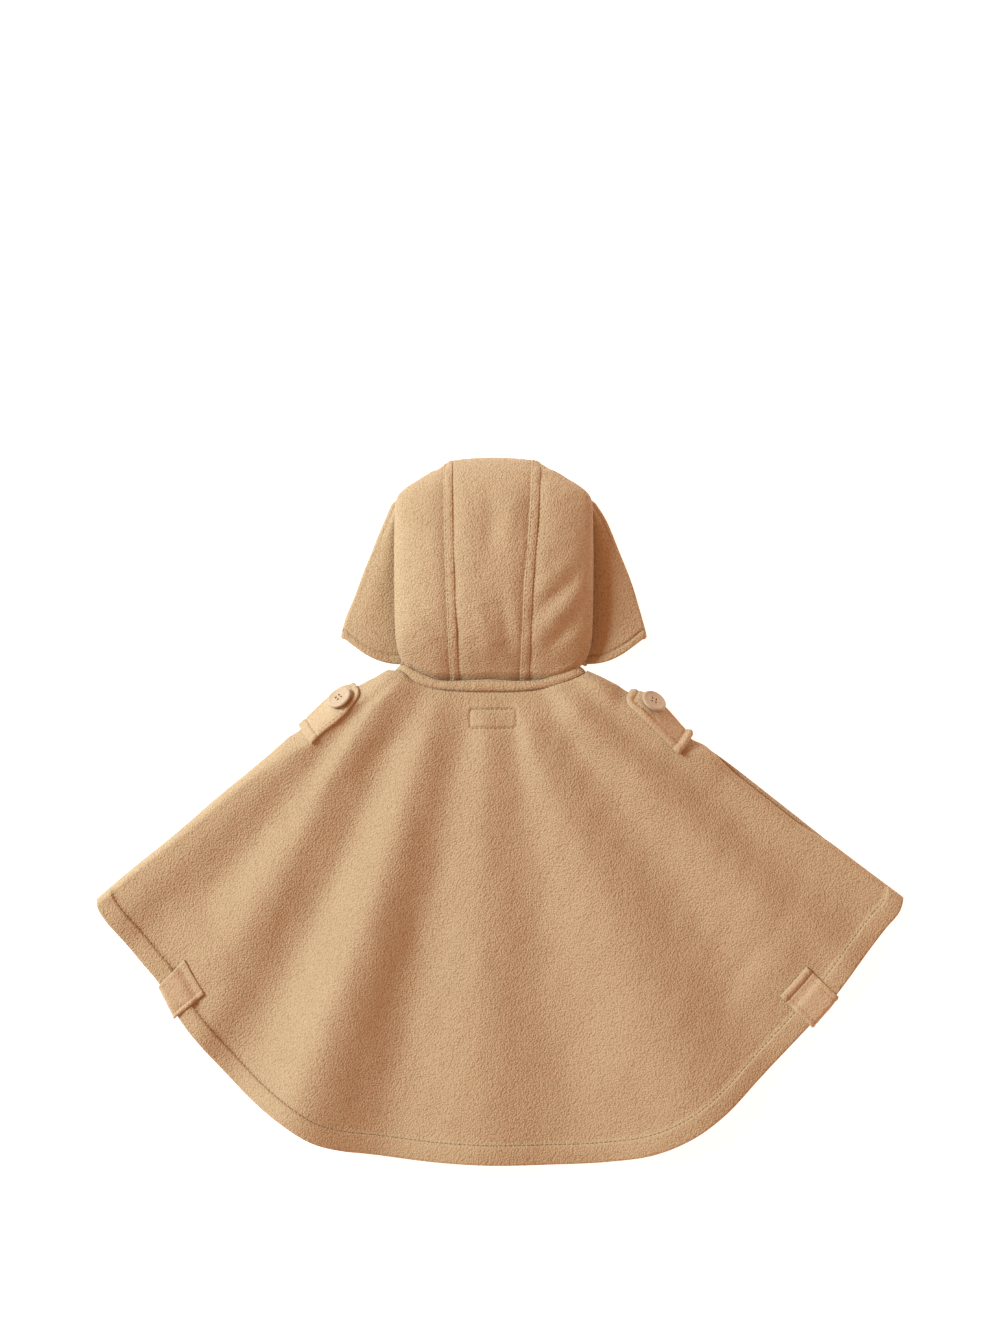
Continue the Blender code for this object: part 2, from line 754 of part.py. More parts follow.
def hood_side(side, material, collection):
    outer = hood_side_grid(side)
    normals = grid_normals(outer)
    normals *= np.sign(normals[8, 4, 2])
    inner = outer - normals * CLOTH
    # Both sides of each seam share one normal, so their edges stay parallel.
    rows, columns = outer.shape[:2]
    for row in range(rows - 1):
        for column, way in ((0, 1), (columns - 1, -1)):
            inner[row, column] = seam_inside(side, outer[row, column], way)
    for column in range(columns):
        inner[-1, column] = seam_inside(side, outer[-1, column], 1 if column < columns / 2 else -1)
    name = "hood_" + side_name(side)
    return cloth_panel(name, outer, inner, material, collection)


def strip_drops():
    """Drops of the centre strip's rows, down the nape, round the crown and along the underside."""
    nape = float(along(NAPE, "drop", 30.0))
    top = [nape + (CROWN_END - nape) * s for s in SIDE_ROWS]
    turn = [3.0, 1.0, 0.25]
    under = [FOREHEAD + (CROWN_END - FOREHEAD) * s for s in SIDE_ROWS[::-1]]
    rows = [(drop, True) for drop in top + turn]
    rows += [(0.0, True)]
    rows += [(drop, False) for drop in turn[::-1] + under]
    return rows


def hood_strip(material, collection):
    rows = strip_drops()
    columns = 7
    grid = np.zeros((len(rows), columns, 3))
    for row, (drop, on_top) in enumerate(rows):
        left = -float(seam_place(-1, drop)) + SEAM_GAP / 2
        right = float(seam_place(1, drop)) - SEAM_GAP / 2
        middle = (left + right) / 2
        steps = (0.0, SEAM_STRIP, SEAM_STRIP + 6)
        places = [left + step for step in steps] + [middle]
        places += [right - step for step in steps[::-1]]
        for column, across in enumerate(places):
            if on_top:
                up = float(arch_height(np.array(across), np.array(drop)))
            else:
                up = under_rise(drop)
            y = CROWN_Y - drop - float(crown_shift(across, drop))
            grid[row, column] = (HOOD_X + across, y, up)
    inner = np.zeros_like(grid)
    for row, (drop, on_top) in enumerate(rows):
        for column in range(columns):
            across = grid[row, column, 0] - HOOD_X
            inner[row, column] = strip_inside(across, drop if on_top else -drop)
    return cloth_panel("hood_centre", grid, inner, material, collection)


# The neck band, one ring round the neck seam, flat on its width.

BAND_STEPS = 46


def neck_band(material, collection):
    outer = np.zeros((BAND_STEPS, 4, 3))
    inner = np.zeros((BAND_STEPS, 4, 3))
    centre = (BAND_LEFT + BAND_RIGHT) / 2
    half = (BAND_RIGHT - BAND_LEFT) / 2
    low = CLOTH / 2
    high = BAND_TOP - CLOTH / 2
    path = []
    for step in range(BAND_STEPS):
        turn = 2 * math.pi * (step + 0.5) / BAND_STEPS
        cosine = math.cos(turn)
        sine = math.sin(turn)
        angle = centre + half * math.copysign(abs(cosine) ** 0.8, cosine)
        rise = (low + high) / 2 + (high - low) / 2 * math.copysign(abs(sine) ** 0.55, sine)
        path.append((angle, rise))
    for step, (angle, rise) in enumerate(path):
        before = path[step - 1]
        after = path[(step + 1) % BAND_STEPS]
        share = float(ramp(rise, low + 0.5, high - 3.0))
        front_outer = float(along(NECK, "front", angle)) - SEAM_GAP - 0.3
        outer_reach = front_outer + (float(along(BAND, "outer", angle)) - front_outer) * share
        front_inner = front_outer - BAND_WIDTH
        inner_reach = front_inner + (float(along(BAND, "inner", angle)) - front_inner) * share
        along_path = (math.radians(after[0] - before[0]) * outer_reach, after[1] - before[1])
        length = math.hypot(*along_path)
        out_turn = along_path[1] / length
        out_up = -along_path[0] / length
        for column, across in enumerate((0.0, 0.22, 0.78, 1.0)):
            reach = inner_reach + (outer_reach - inner_reach) * across
            half_thick = CLOTH / 2 - (0.7 if column in (0, 3) else 0.0)
            for grid, way in ((outer, 1), (inner, -1)):
                move = way * half_thick
                here = angle + math.degrees(out_turn * move / reach)
                x, y = from_polar(here, reach)
                grid[step, column] = (x, y, max(rise + out_up * move, 0.0))
    return cloth_panel("neck_band", outer, inner, material, collection, ring=True)


# Straps, each a strip laid along a path over an edge and back under the fronts.


def path_normals(path):
    """Outward normals of a path given as distance inside the edge and height."""
    ahead = np.gradient(path, axis=0)
    normals = np.stack([ahead[:, 1], -ahead[:, 0]], axis=1)
    return normals / np.linalg.norm(normals, axis=1, keepdims=True)


def cover_height(angle, reach, sideways, lengthwise):
    """Highest the back comes near a place, so that a strap clears its folds."""
    heights = []
    for turn in (-sideways, 0.0, sideways):
        for move in (-lengthwise, 0.0, lengthwise):
            heights.append(float(back_height(np.array(angle + turn), np.array(reach + move))))
    return max(heights)


def shoulder_path(tab, reach, width_share):
    """The skin across the shoulder fold at a reach, from the back, round the edge, to the underside."""
    roll = float(along(YOKE, "roll", reach))
    over = tab.width * width_share
    tops = [step * roll for step in EDGE_STEPS if step * roll < over - 1.0]
    tops = sorted({*np.round(tops, 4), over}, reverse=True)
    points = []
    for inside in tops:
        heights = []
        for move in (-5.0, 0.0, 5.0):
            near = reach + move
            angle = float(shoulder_angle(tab.side, near)) - tab.side * math.degrees(inside / near)
            heights.append(float(back_height(np.array(angle), np.array(near))))
        points.append((inside, max(heights)))
    return points


def strap_rows(tops, edge_low, under_reach):
    low = edge_low - 0.3
    under = [(0.2, low)]
    under += [(under_reach * share, low) for share in (0.35, 0.7, 1.0)]
    return tops + [(-1.2, edge_low + 2.6), (-1.1, edge_low + 0.3)] + under


def resample(path, count):
    """The same path with an even number of points, kept close to its corners."""
    path = np.asarray(path, float)
    steps = np.linalg.norm(np.diff(path, axis=0), axis=1)
    travelled = np.concatenate([[0.0], np.cumsum(steps)])
    even = np.linspace(0, travelled[-1], count)
    return np.stack([np.interp(even, travelled, path[:, k]) for k in (0, 1)], axis=1)


TAB_ROWS = 9
TAB_POINTS = 16


def shoulder_tab(name, tab, material, collection):
    outer = np.zeros((TAB_ROWS, TAB_POINTS, 3))
    inner = np.zeros((TAB_ROWS, TAB_POINTS, 3))
    for row in range(TAB_ROWS):
        share = row / (TAB_ROWS - 1)
        reach = tab.tip + (tab.end - tab.tip) * share**1.35
        tip = min((reach - tab.tip) / (tab.width * 1.15), 1.0)
        width_share = 0.30 + 0.70 * math.sqrt(max(1 - (1 - tip) ** 2, 0.0))
        width_share *= 1 - 0.10 * float(ramp(reach, tab.tip + 24, tab.end - 6))
        tops = shoulder_path(tab, reach, width_share)
        path = resample(strap_rows(tops, STRAP_LIFT, 13.0 * width_share), TAB_POINTS)
        normals = path_normals(path)
        thick = STRAP + 1.0 * float(ramp(reach, tab.end - 9, tab.end - 7))
        edge = float(shoulder_angle(tab.side, reach))
        for grid, out in ((inner, STRAP_GAP), (outer, STRAP_GAP + thick)):
            moved = path + normals * out
            angle = edge - tab.side * np.degrees(moved[:, 0] / reach)
            x, y = from_polar(angle, reach)
            grid[row] = np.stack([x, y, np.maximum(moved[:, 1], 0.0)], axis=1)
    return cloth_panel(name, outer, inner, material, collection)


HEM_TAB_COLUMNS = 6
HEM_TAB_POINTS = 17


def hem_tab(name, tab, material, collection):
    outer = np.zeros((HEM_TAB_COLUMNS, HEM_TAB_POINTS, 3))
    inner = np.zeros((HEM_TAB_COLUMNS, HEM_TAB_POINTS, 3))
    for row in range(HEM_TAB_COLUMNS):
        angle = tab.start + (tab.end - tab.start) * row / (HEM_TAB_COLUMNS - 1)
        hem = float(along(HEM, "reach", angle))
        tops = []
        for inside in (tab.over, tab.over - 8, *HEM_STEPS[:4], 0.6):
            tops.append((inside, cover_height(angle, hem - inside, 0.9, 1.0)))
        tops.append((0.0, tops[-1][1] - 1.0))
        path = resample(strap_rows(tops, STRAP_LIFT, tab.under), HEM_TAB_POINTS)
        normals = path_normals(path)
        for grid, out in ((inner, STRAP_GAP), (outer, STRAP_GAP + STRAP)):
            moved = path + normals * out
            x, y = from_polar(angle, hem - moved[:, 0])
            grid[row] = np.stack([x, y, np.maximum(moved[:, 1], 0.0)], axis=1)
    return cloth_panel(name, outer, inner, material, collection)


# Buttons, turned discs with a raised rim and four holes, sewn flat on the sloping tabs.


def hole_cutter(name, matrix, x, y, collection):
    bpy.ops.mesh.primitive_cylinder_add(vertices=8, radius=HOLE_RADIUS * MM, depth=14 * MM)
    cutter = bpy.context.object
    cutter.name = name
    for home in cutter.users_collection:
        home.objects.unlink(cutter)
    collection.objects.link(cutter)
    cutter.hide_render = True
    cutter.display_type = "WIRE"
    cutter.matrix_world = matrix @ Matrix.Translation((x * MM, y * MM, 0))
    return cutter


def button(name, tab, material, collection, cutters):
    reach = tab.button
    path = resample(strap_rows(shoulder_path(tab, reach, 0.98), STRAP_LIFT, 13.0), 80)
    normals = path_normals(path)
    tilt = np.degrees(np.arctan2(-normals[:, 0], normals[:, 1]))
    top = [k for k in range(80) if path[k][1] > STRAP_LIFT + 4.5]
    best = min(top, key=lambda k: abs(tilt[k] - tab.tilt))
    rest = path[best] + normals[best] * (STRAP_GAP + STRAP + 0.45)
    edge = float(shoulder_angle(tab.side, reach))
    angle = edge - tab.side * math.degrees(rest[0] / reach)
    x, y = from_polar(angle, reach)
    ahead_x, ahead_y = from_polar(float(shoulder_angle(tab.side, reach + 12)), reach + 12)
    behind_x, behind_y = from_polar(float(shoulder_angle(tab.side, reach - 12)), reach - 12)
    lengthwise = Vector((ahead_x - behind_x, ahead_y - behind_y, 0)).normalized()
    outward = Vector((-tab.side * lengthwise.y, tab.side * lengthwise.x, 0)) * -1
    if outward.x * tab.side < 0:
        outward = -outward
    lean = math.radians(tilt[best])
    axis = Vector((0, 0, 1)) * math.cos(lean) + outward * math.sin(lean)
    cross = axis.cross(lengthwise).normalized()
    matrix = Matrix((lengthwise, cross, axis)).transposed().to_4x4()
    matrix.translation = Vector((x, y, rest[1])) * MM
    profile = (
        (0.0, 0.0),
        (BUTTON_RADIUS - 1.6, 0.0),
        (BUTTON_RADIUS - 0.3, 0.7),
        (BUTTON_RADIUS, 1.7),
        (BUTTON_RADIUS - 0.5, 2.9),
        (BUTTON_RADIUS - 1.5, BUTTON_THICK),
        (BUTTON_DISH + 0.6, BUTTON_THICK),
        (BUTTON_DISH - 0.8, BUTTON_THICK - BUTTON_RIM * 0.7),
        (BUTTON_DISH - 3.6, BUTTON_THICK - BUTTON_RIM),
        (0.0, BUTTON_THICK - BUTTON_RIM),
    )
    mesh = bpy.data.meshes.new(name)
    points = [(radius * MM, 0.0, rise * MM) for radius, rise in profile]
    mesh.from_pydata(points, [(k, k + 1) for k in range(len(points) - 1)], [])
    mesh.materials.append(material)
    disc = bpy.data.objects.new(name, mesh)
    collection.objects.link(disc)
    disc.matrix_world = matrix
    turned = disc.modifiers.new("turned", "SCREW")
    turned.steps = 22
    turned.render_steps = 22
    turned.use_merge_vertices = True
    turned.merge_threshold = 0.00002
    turned.use_normal_calculate = True
    turned.use_smooth_shade = True
    for hole, (across, down) in enumerate(((1, 1), (-1, 1), (-1, -1), (1, -1))):
        offset = HOLE_OFFSET / math.sqrt(2)
        cutter = hole_cutter(f"{name}_hole_{hole}", matrix, across * offset, down * offset, cutters)
        drilled = disc.modifiers.new(f"hole_{hole}", "BOOLEAN")
        drilled.operation = "DIFFERENCE"
        drilled.solver = "EXACT"
        drilled.object = cutter
    return disc


def clear_scene():
    for thing in list(bpy.data.objects):
        bpy.data.objects.remove(thing, do_unlink=True)


def main():
    clear_scene()
    poncho = bpy.data.collections.new("hooded_poncho")
    cutters = bpy.data.collections.new("cutters")
    cutters.hide_render = True
    bpy.context.scene.collection.children.link(poncho)
    bpy.context.scene.collection.children.link(cutters)
    fleece = (0.60, 0.42, 0.26)
    trim = (0.64, 0.46, 0.30)
    resin = (0.62, 0.47, 0.33)
    back_panel(material_for("back_fleece", fleece, 0.95), poncho)
    for side in (-1, 1):
        front_panel(side, material_for(f"front_fleece_{side_name(side)}", fleece, 0.95), poncho)
        hood_side(side, material_for(f"hood_fleece_{side_name(side)}", fleece, 0.95), poncho)
    hood_strip(material_for("strip_fleece", fleece, 0.95), poncho)
    neck_band(material_for("band_fleece", trim, 0.95), poncho)
    for which, tab in SHOULDER_TABS.items():
        shoulder_tab(f"shoulder_tab_{which}", tab, material_for(f"tab_fleece_{which}", trim, 0.9), poncho)
        button(f"button_{which}", tab, material_for(f"button_resin_{which}", resin, 0.4), poncho, cutters)
    for which, tab in HEM_TABS.items():
        hem_tab(f"hem_tab_{which}", tab, material_for(f"hem_tab_fleece_{which}", trim, 0.9), poncho)


main()
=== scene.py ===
# Toddler's hooded fleece poncho, laid face down. Lengths in the dictionaries are millimetres;
# flat sizes, bump depths and the studio are metres.
import math

import bmesh
import bpy
import numpy as np
from mathutils import Matrix, Vector


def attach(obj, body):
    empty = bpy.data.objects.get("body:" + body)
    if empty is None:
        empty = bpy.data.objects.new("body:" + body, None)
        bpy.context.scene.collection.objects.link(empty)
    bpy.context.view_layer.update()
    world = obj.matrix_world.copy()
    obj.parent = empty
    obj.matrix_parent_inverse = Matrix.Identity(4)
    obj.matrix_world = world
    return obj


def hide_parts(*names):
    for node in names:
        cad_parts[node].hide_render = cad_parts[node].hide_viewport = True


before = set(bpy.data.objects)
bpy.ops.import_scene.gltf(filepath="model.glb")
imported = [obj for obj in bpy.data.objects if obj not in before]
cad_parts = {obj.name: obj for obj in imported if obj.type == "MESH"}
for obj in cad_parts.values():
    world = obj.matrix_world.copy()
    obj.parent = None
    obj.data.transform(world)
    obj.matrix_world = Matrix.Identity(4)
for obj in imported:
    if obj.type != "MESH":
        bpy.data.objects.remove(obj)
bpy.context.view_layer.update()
chance = np.random.default_rng(11)


def columnsOf(names, rows):
    # a table with named columns, the first one being the place to read at
    return dict(zip(names.split(), np.array(rows, float).T))


def along(table, column, place):
    # smooth reading of one column
    places = next(iter(table.values()))
    values = table[column]
    slopes = np.gradient(values, places)
    place = np.clip(np.asarray(place, float), places[0], places[-1])
    first = np.clip(np.searchsorted(places, place, side="right") - 1, 0, len(places) - 2)
    span = places[first + 1] - places[first]
    t = (place - places[first]) / span
    start = (1 + 2 * t) * (1 - t) ** 2 * values[first]
    end = t * t * (3 - 2 * t) * values[first + 1]
    lean = t * (1 - t) ** 2 * slopes[first] - t * t * (1 - t) * slopes[first + 1]
    return start + end + lean * span


def ramp(value, start, end):
    t = np.clip((np.asarray(value, float) - start) / (end - start), 0, 1)
    return t * t * (3 - 2 * t)


def dent(distance, width):
    # 1 on a line, fading to 0 about one width away
    return np.exp(-((distance / width) ** 2))


def lengthFromStart(points, axis=0):
    total = np.cumsum(np.linalg.norm(np.diff(points, axis=axis), axis=-1), axis=axis)
    return np.concatenate([np.zeros_like(np.take(total, [0], axis=axis)), total], axis=axis)


def resample(path, count):
    # even points along a path in two dimensions
    path = np.asarray(path, float)
    travelled = lengthFromStart(path)
    even = np.linspace(0, travelled[-1], count)
    return np.stack([np.interp(even, travelled, path[:, k]) for k in (0, 1)], axis=1), even


def closeEdge(distance, width):
    # 1 at a free edge, 0 this far from it
    return 1 - np.sqrt(1 - (1 - np.clip(np.asarray(distance) / width, 0, 1)) ** 2)


def drawTogether(outer, inner, share):
    middle = (outer + inner) / 2
    return outer + (middle - outer) * share, inner + (middle - inner) * share


def ripple(x, y, size, seed):
    # soft unevenness, about -1 to 1, with waves about this long
    pick = np.random.default_rng(seed)
    total = 0.0
    for _ in range(9):
        turn = pick.uniform(0, math.tau)
        length = size * pick.uniform(0.7, 1.6)
        phase = pick.uniform(0, math.tau)
        total = total + np.sin((x * math.cos(turn) + y * math.sin(turn)) * math.tau / length + phase)
    return total / 4.2


# the cut of the garment, shared by its pieces

garment = {
    "yokeX": -12.75,
    "yokeY": 178.9,
    "crownY": 300.0,
    "hoodX": -5.3,
    "cloth": 3.0,
    "seamGap": 0.3,
    "layGap": 0.45,
    "hemWidth": 17.0,
    "hemExtra": 1.4,
    "frontHemExtra": 1.0,
    "frontShort": 1.5,
    "centreFrontX": -4.3,
    "strapLift": 2.9,
    "strapSoft": (15.0, 45.0),  # the cloth over a strap stays up this far round it, and is down by here
    "hold": 0.78,  # how much of the folds a hem tab presses down
    "holdBeside": (12.0, 66.0),
    "holdInside": (20.0, 105.0),
    "seamShow": 3.8,  # how far the right front shows past the shoulder seam
}

hemLine = columnsOf("angle reach", [
    (-52.3, 416.4), (-51.4, 419.6), (-50, 420.9), (-46.7, 421.5), (-43.1, 424), (-40.4, 426.8),
    (-38, 433.6), (-35.4, 441.6), (-32.1, 449.5), (-28.8, 457.6), (-25.4, 466.5), (-21.5, 475.1),
    (-17.2, 482.4), (-14.6, 482.2), (-12.3, 480.4), (-6.1, 478.7), (0, 479), (6.1, 481.7),
    (12.1, 487.6), (17.2, 491.6), (21.4, 488.5), (25.1, 481), (29.3, 469.2), (33.7, 459.7),
    (41.1, 448.8), (45.6, 442.4), (50.6, 439.7), (53.4, 439.3), (54.6, 435.6),
])

shoulderLine = columnsOf("reach left right", [
    (92, -53.6, 54.2), (104, -54.6, 55.2), (117, -55.2, 56.5), (130, -57.2, 57.2),
    (143.7, -58.8, 58.3), (153.8, -58.4, 59.6), (163.3, -57.7, 60.3), (174.5, -57, 59.6),
    (186, -56.2, 58.5), (202, -55.2, 57.2), (216, -54.7, 56.7), (245, -54.1, 56.3),
    (278, -53.7, 55.8), (327, -53, 55.2), (385, -52.7, 54.8), (440, -52.2, 54.6),
])

neckLine = columnsOf("angle back front", [
    (-56, 105, 106), (-51, 95.4, 101), (-41, 92, 99.5), (-29, 85.8, 100),
    (-12.5, 78.9, 102), (4.4, 77.6, 103), (20, 82, 104), (32.5, 88.7, 105),
    (45.4, 98, 106), (53, 104.5, 107), (58, 107, 108),
])

yokeShape = columnsOf("reach lift roll", [
    (80, 10.4, 11), (110, 10.6, 12), (150, 9.8, 17), (190, 7.8, 16),
    (235, 4.6, 10), (300, 1.8, 7.5), (380, 0.5, 6), (480, 0, 6),
])

# valley and crest in turn, from the left shoulder to the right
foldTable = columnsOf("atYoke atHem riseYoke riseHem", [
    (-66, -62, 2, 3), (-53, -50.2, 4, 9), (-49.4, -43.4, 2.6, 0.4),
    (-45.6, -36.2, 6.6, 13), (-33.6, -28.4, 0.4, 0.4), (-22.5, -19.6, 6.5, 24),
    (-9.3, -9.8, 0.5, 0.4), (0.6, -0.3, 4, 10.5), (11.5, 9.4, 0.6, 0.8),
    (18.6, 22.6, 5.5, 16.5), (31.2, 33.8, 0.5, 0.6), (38.6, 42.4, 8, 14.5),
    (48.2, 50, 0.8, 0.6), (54.5, 55, 4.5, 6), (68, 64, 2, 3),
])

shoulderTabs = {
    "left": {
        "side": -1, "tip": 131.0, "end": 191.0, "width": 21.0, "shown": 18.0, "endBand": 8.0,
        "bandRise": 0.8, "edgeRoll": 0.4, "rollIn": 1.8, "groove": 0.2, "grooveIn": 4.2,
    },
    "right": {
        "side": 1, "tip": 145.0, "end": 210.5, "width": 20.0, "shown": 18.2, "endBand": 7.4,
        "bandRise": 1.9, "edgeRoll": 0.9, "rollIn": 2.9, "groove": 0.55, "grooveIn": 6.0,
    },
}
hemTabs = {
    "left": {
        "start": -40.2, "end": -36.0, "over": 30.0, "under": 26.0, "seamIn": 6.8, "seamDepth": 0.35,
        "innerRoll": 0.2, "startRoll": 0.1, "endRoll": 0.6, "hemTurn": (0.0, -0.5), "innerTurn": (0.3, 0.6),
    },
    "right": {
        "start": 36.9, "end": 41.2, "over": 36.0, "under": 26.0, "seamIn": 7.5, "seamDepth": 0.95,
        "innerRoll": 1.2, "startRoll": 0.55, "endRoll": 0.4, "hemTurn": (0.5, 0.5), "innerTurn": (-0.25, 0.05),
    },
}


def sideName(side):
    return "left" if side < 0 else "right"


def fromPolar(angle, reach):
    turn = np.radians(angle)
    return garment["yokeX"] + reach * np.sin(turn), garment["yokeY"] - reach * np.cos(turn)


def toPolar(x, y):
    across = np.asarray(x, float) - garment["yokeX"]
    down = garment["yokeY"] - np.asarray(y, float)
    return np.degrees(np.arctan2(across, down)), np.hypot(across, down)


def fromHem(angle, reach):
    return along(hemLine, "reach", angle) - reach


def beside(tab, angle, reach):
    # distance from the line down the middle of a hem tab
    return np.abs(angle - (tab["start"] + tab["end"]) / 2) * reach * math.pi / 180


def shoulderInset(side, reach):
    # the cloth lies a strap's thickness inside the outline under each tab
    tab = shoulderTabs[sideName(side)]
    begun = ramp(reach, tab["tip"] - 14, tab["tip"] + 1)
    return garment["strapLift"] * begun * (1 - ramp(reach, tab["end"], tab["end"] + 14))


def seamInset(side, reach):
    # on the right, the front shows past the shoulder seam
    if side < 0:
        return 0.0 * reach
    return garment["seamShow"] * ramp(reach, 222, 262) * (1 - ramp(reach, 322, 362))


def shoulderAngle(side, reach, inset=0.0):
    inward = inset + shoulderInset(side, reach)
    return along(shoulderLine, sideName(side), reach) - side * np.degrees(inward / reach)


def fromShoulder(side, angle, reach):
    return side * (shoulderAngle(side, reach) - angle) * reach * math.pi / 180


def strapShare(angle, reach):
    # 1 where a strap passes under the fronts, fading round it
    near, far = garment["strapSoft"]
    share = np.zeros(np.broadcast(angle, reach).shape)
    for tab in shoulderTabs.values():
        inside = fromShoulder(tab["side"], angle, reach)
        here = ramp(reach, tab["tip"] - far, tab["tip"] - near)
        here = here * (1 - ramp(reach, tab["end"] + near, tab["end"] + far))
        share = np.maximum(share, here * (1 - ramp(inside, tab["width"] + near, tab["width"] + far)))
    for tab in hemTabs.values():
        half = (tab["end"] - tab["start"]) / 2 * reach * math.pi / 180
        here = 1 - ramp(beside(tab, angle, reach) - half, near, far)
        here = here * (1 - ramp(fromHem(angle, reach), tab["over"] + near, tab["over"] + far))
        share = np.maximum(share, here)
    return share


def frontUnder(angle, reach):
    return garment["strapLift"] * strapShare(angle, reach)


def frontTop(angle, reach):
    width = garment["hemWidth"]
    hem = ramp(fromHem(angle, reach), width + 3, width)
    return frontUnder(angle, reach) + garment["cloth"] + garment["frontHemExtra"] * hem


def hemTabHold(angle, reach):
    # the hem tabs hold the folds down close to them
    hold = np.zeros(np.broadcast(angle, reach).shape)
    for tab in hemTabs.values():
        here = 1 - ramp(beside(tab, angle, reach), *garment["holdBeside"])
        hold = np.maximum(hold, here * (1 - ramp(fromHem(angle, reach), *garment["holdInside"])))
    return hold


def foldRise(angle, reach):
    spread = 1 - (1 - np.clip((reach - 130) / 300, 0, 1)) ** 3
    grown, begun = ramp(reach, 95, 420), ramp(reach, 78, 128)
    rise = np.zeros(np.broadcast(angle, reach).shape)
    rows = [(atYoke + (atHem - atYoke) * spread, up * begun * (1 - grown) + down * grown)
            for atYoke, atHem, up, down in zip(*foldTable.values())]
    for (leftAt, leftRise), (rightAt, rightRise) in zip(rows, rows[1:]):
        t = (angle - leftAt) / (rightAt - leftAt)
        here = leftRise + (rightRise - leftRise) * t * t * (3 - 2 * t)
        rise = np.where((t >= 0) & (t < 1), here, rise)
    return rise * (1 - garment["hold"] * hemTabHold(angle, reach))


def hemShare(angle, reach):
    # 1 in the turned hem, 0 above it
    return 1 - ramp(fromHem(angle, reach), garment["hemWidth"] - 1, garment["hemWidth"] + 2)


def backThickness(angle, reach):
    return garment["cloth"] + garment["hemExtra"] * hemShare(angle, reach)


def backRest(angle, reach):
    share = strapShare(angle, reach)
    return frontTop(angle, reach) + garment["layGap"] + 1.6 * share * (1 - share)


def backHeight(angle, reach):
    rest = backRest(angle, reach)
    height = rest + backThickness(angle, reach) + along(yokeShape, "lift", reach) + foldRise(angle, reach)
    roll = along(yokeShape, "roll", reach)
    for side in (-1, 1):
        share = np.clip((fromShoulder(side, angle, reach) - seamInset(side, reach)) / roll, 0, 1)
        tab = shoulderTabs[sideName(side)]
        straight = ramp(reach, tab["tip"] - 26, tab["tip"] - 2)
        straight = straight * (1 - ramp(reach, tab["end"] + 2, tab["end"] + 30))
        roundFold = np.sqrt(np.maximum(1 - (1 - share) ** 2, 0))
        slopeFold = 1 - (1 - share) ** 1.5
        height = rest + 0.1 + (height - rest - 0.1) * (roundFold + (slopeFold - roundFold) * straight)
    return height


# cloth, thread and resin

fleeceLook = {
    "fleece": {
        "dark": (0.445, 0.318, 0.175), "middle": (0.53, 0.394, 0.230),
        "light": (0.608, 0.470, 0.292), "bump": 0.95,
    },
    "trim": {
        "dark": (0.485, 0.355, 0.208), "middle": (0.545, 0.408, 0.245),
        "light": (0.606, 0.469, 0.293), "bump": 0.7,
    },
    "curl": 640.0,  # bigger is finer
    "pile": 1900.0,
    "mottle": 30.0,
    "wander": 330.0,
    "wanderBy": 0.0010,
    "curlShare": 0.75,
    "pileShare": 0.4,
    "patch": (0.955, 0.945, 0.935),
    "bumpDepth": 0.0012,
    "surface": {"Roughness": 0.93, "Specular IOR Level": 0.18, "Sheen Weight": 0.28, "Sheen Roughness": 0.45,
                "Sheen Tint": (1.0, 0.86, 0.70, 1)},
}


def setInputs(node, values):
    for name, value in values.items():
        node.inputs[name].default_value = value


def addNode(tree, kind, values=None, **settings):
    node = tree.nodes.new("ShaderNode" + kind)
    for name, value in settings.items():
        setattr(node, name, value)
    setInputs(node, values or {})
    return node


def toneRamp(tree, first, last, *between):
    # a colour ramp from pairs of place and colour
    node = addNode(tree, "ValToRGB")
    stops = node.color_ramp.elements
    for stop, (place, tone) in zip(stops, (first, last)):
        stop.position, stop.color = place, (*tone, 1)
    for place, tone in between:
        stops.new(place).color = (*tone, 1)
    return node


def newMaterial(name):
    material = bpy.data.materials.new(name)
    material.use_nodes = True
    tree = material.node_tree
    return material, tree, tree.nodes["Principled BSDF"], addNode(tree, "TexCoord").outputs["Object"]


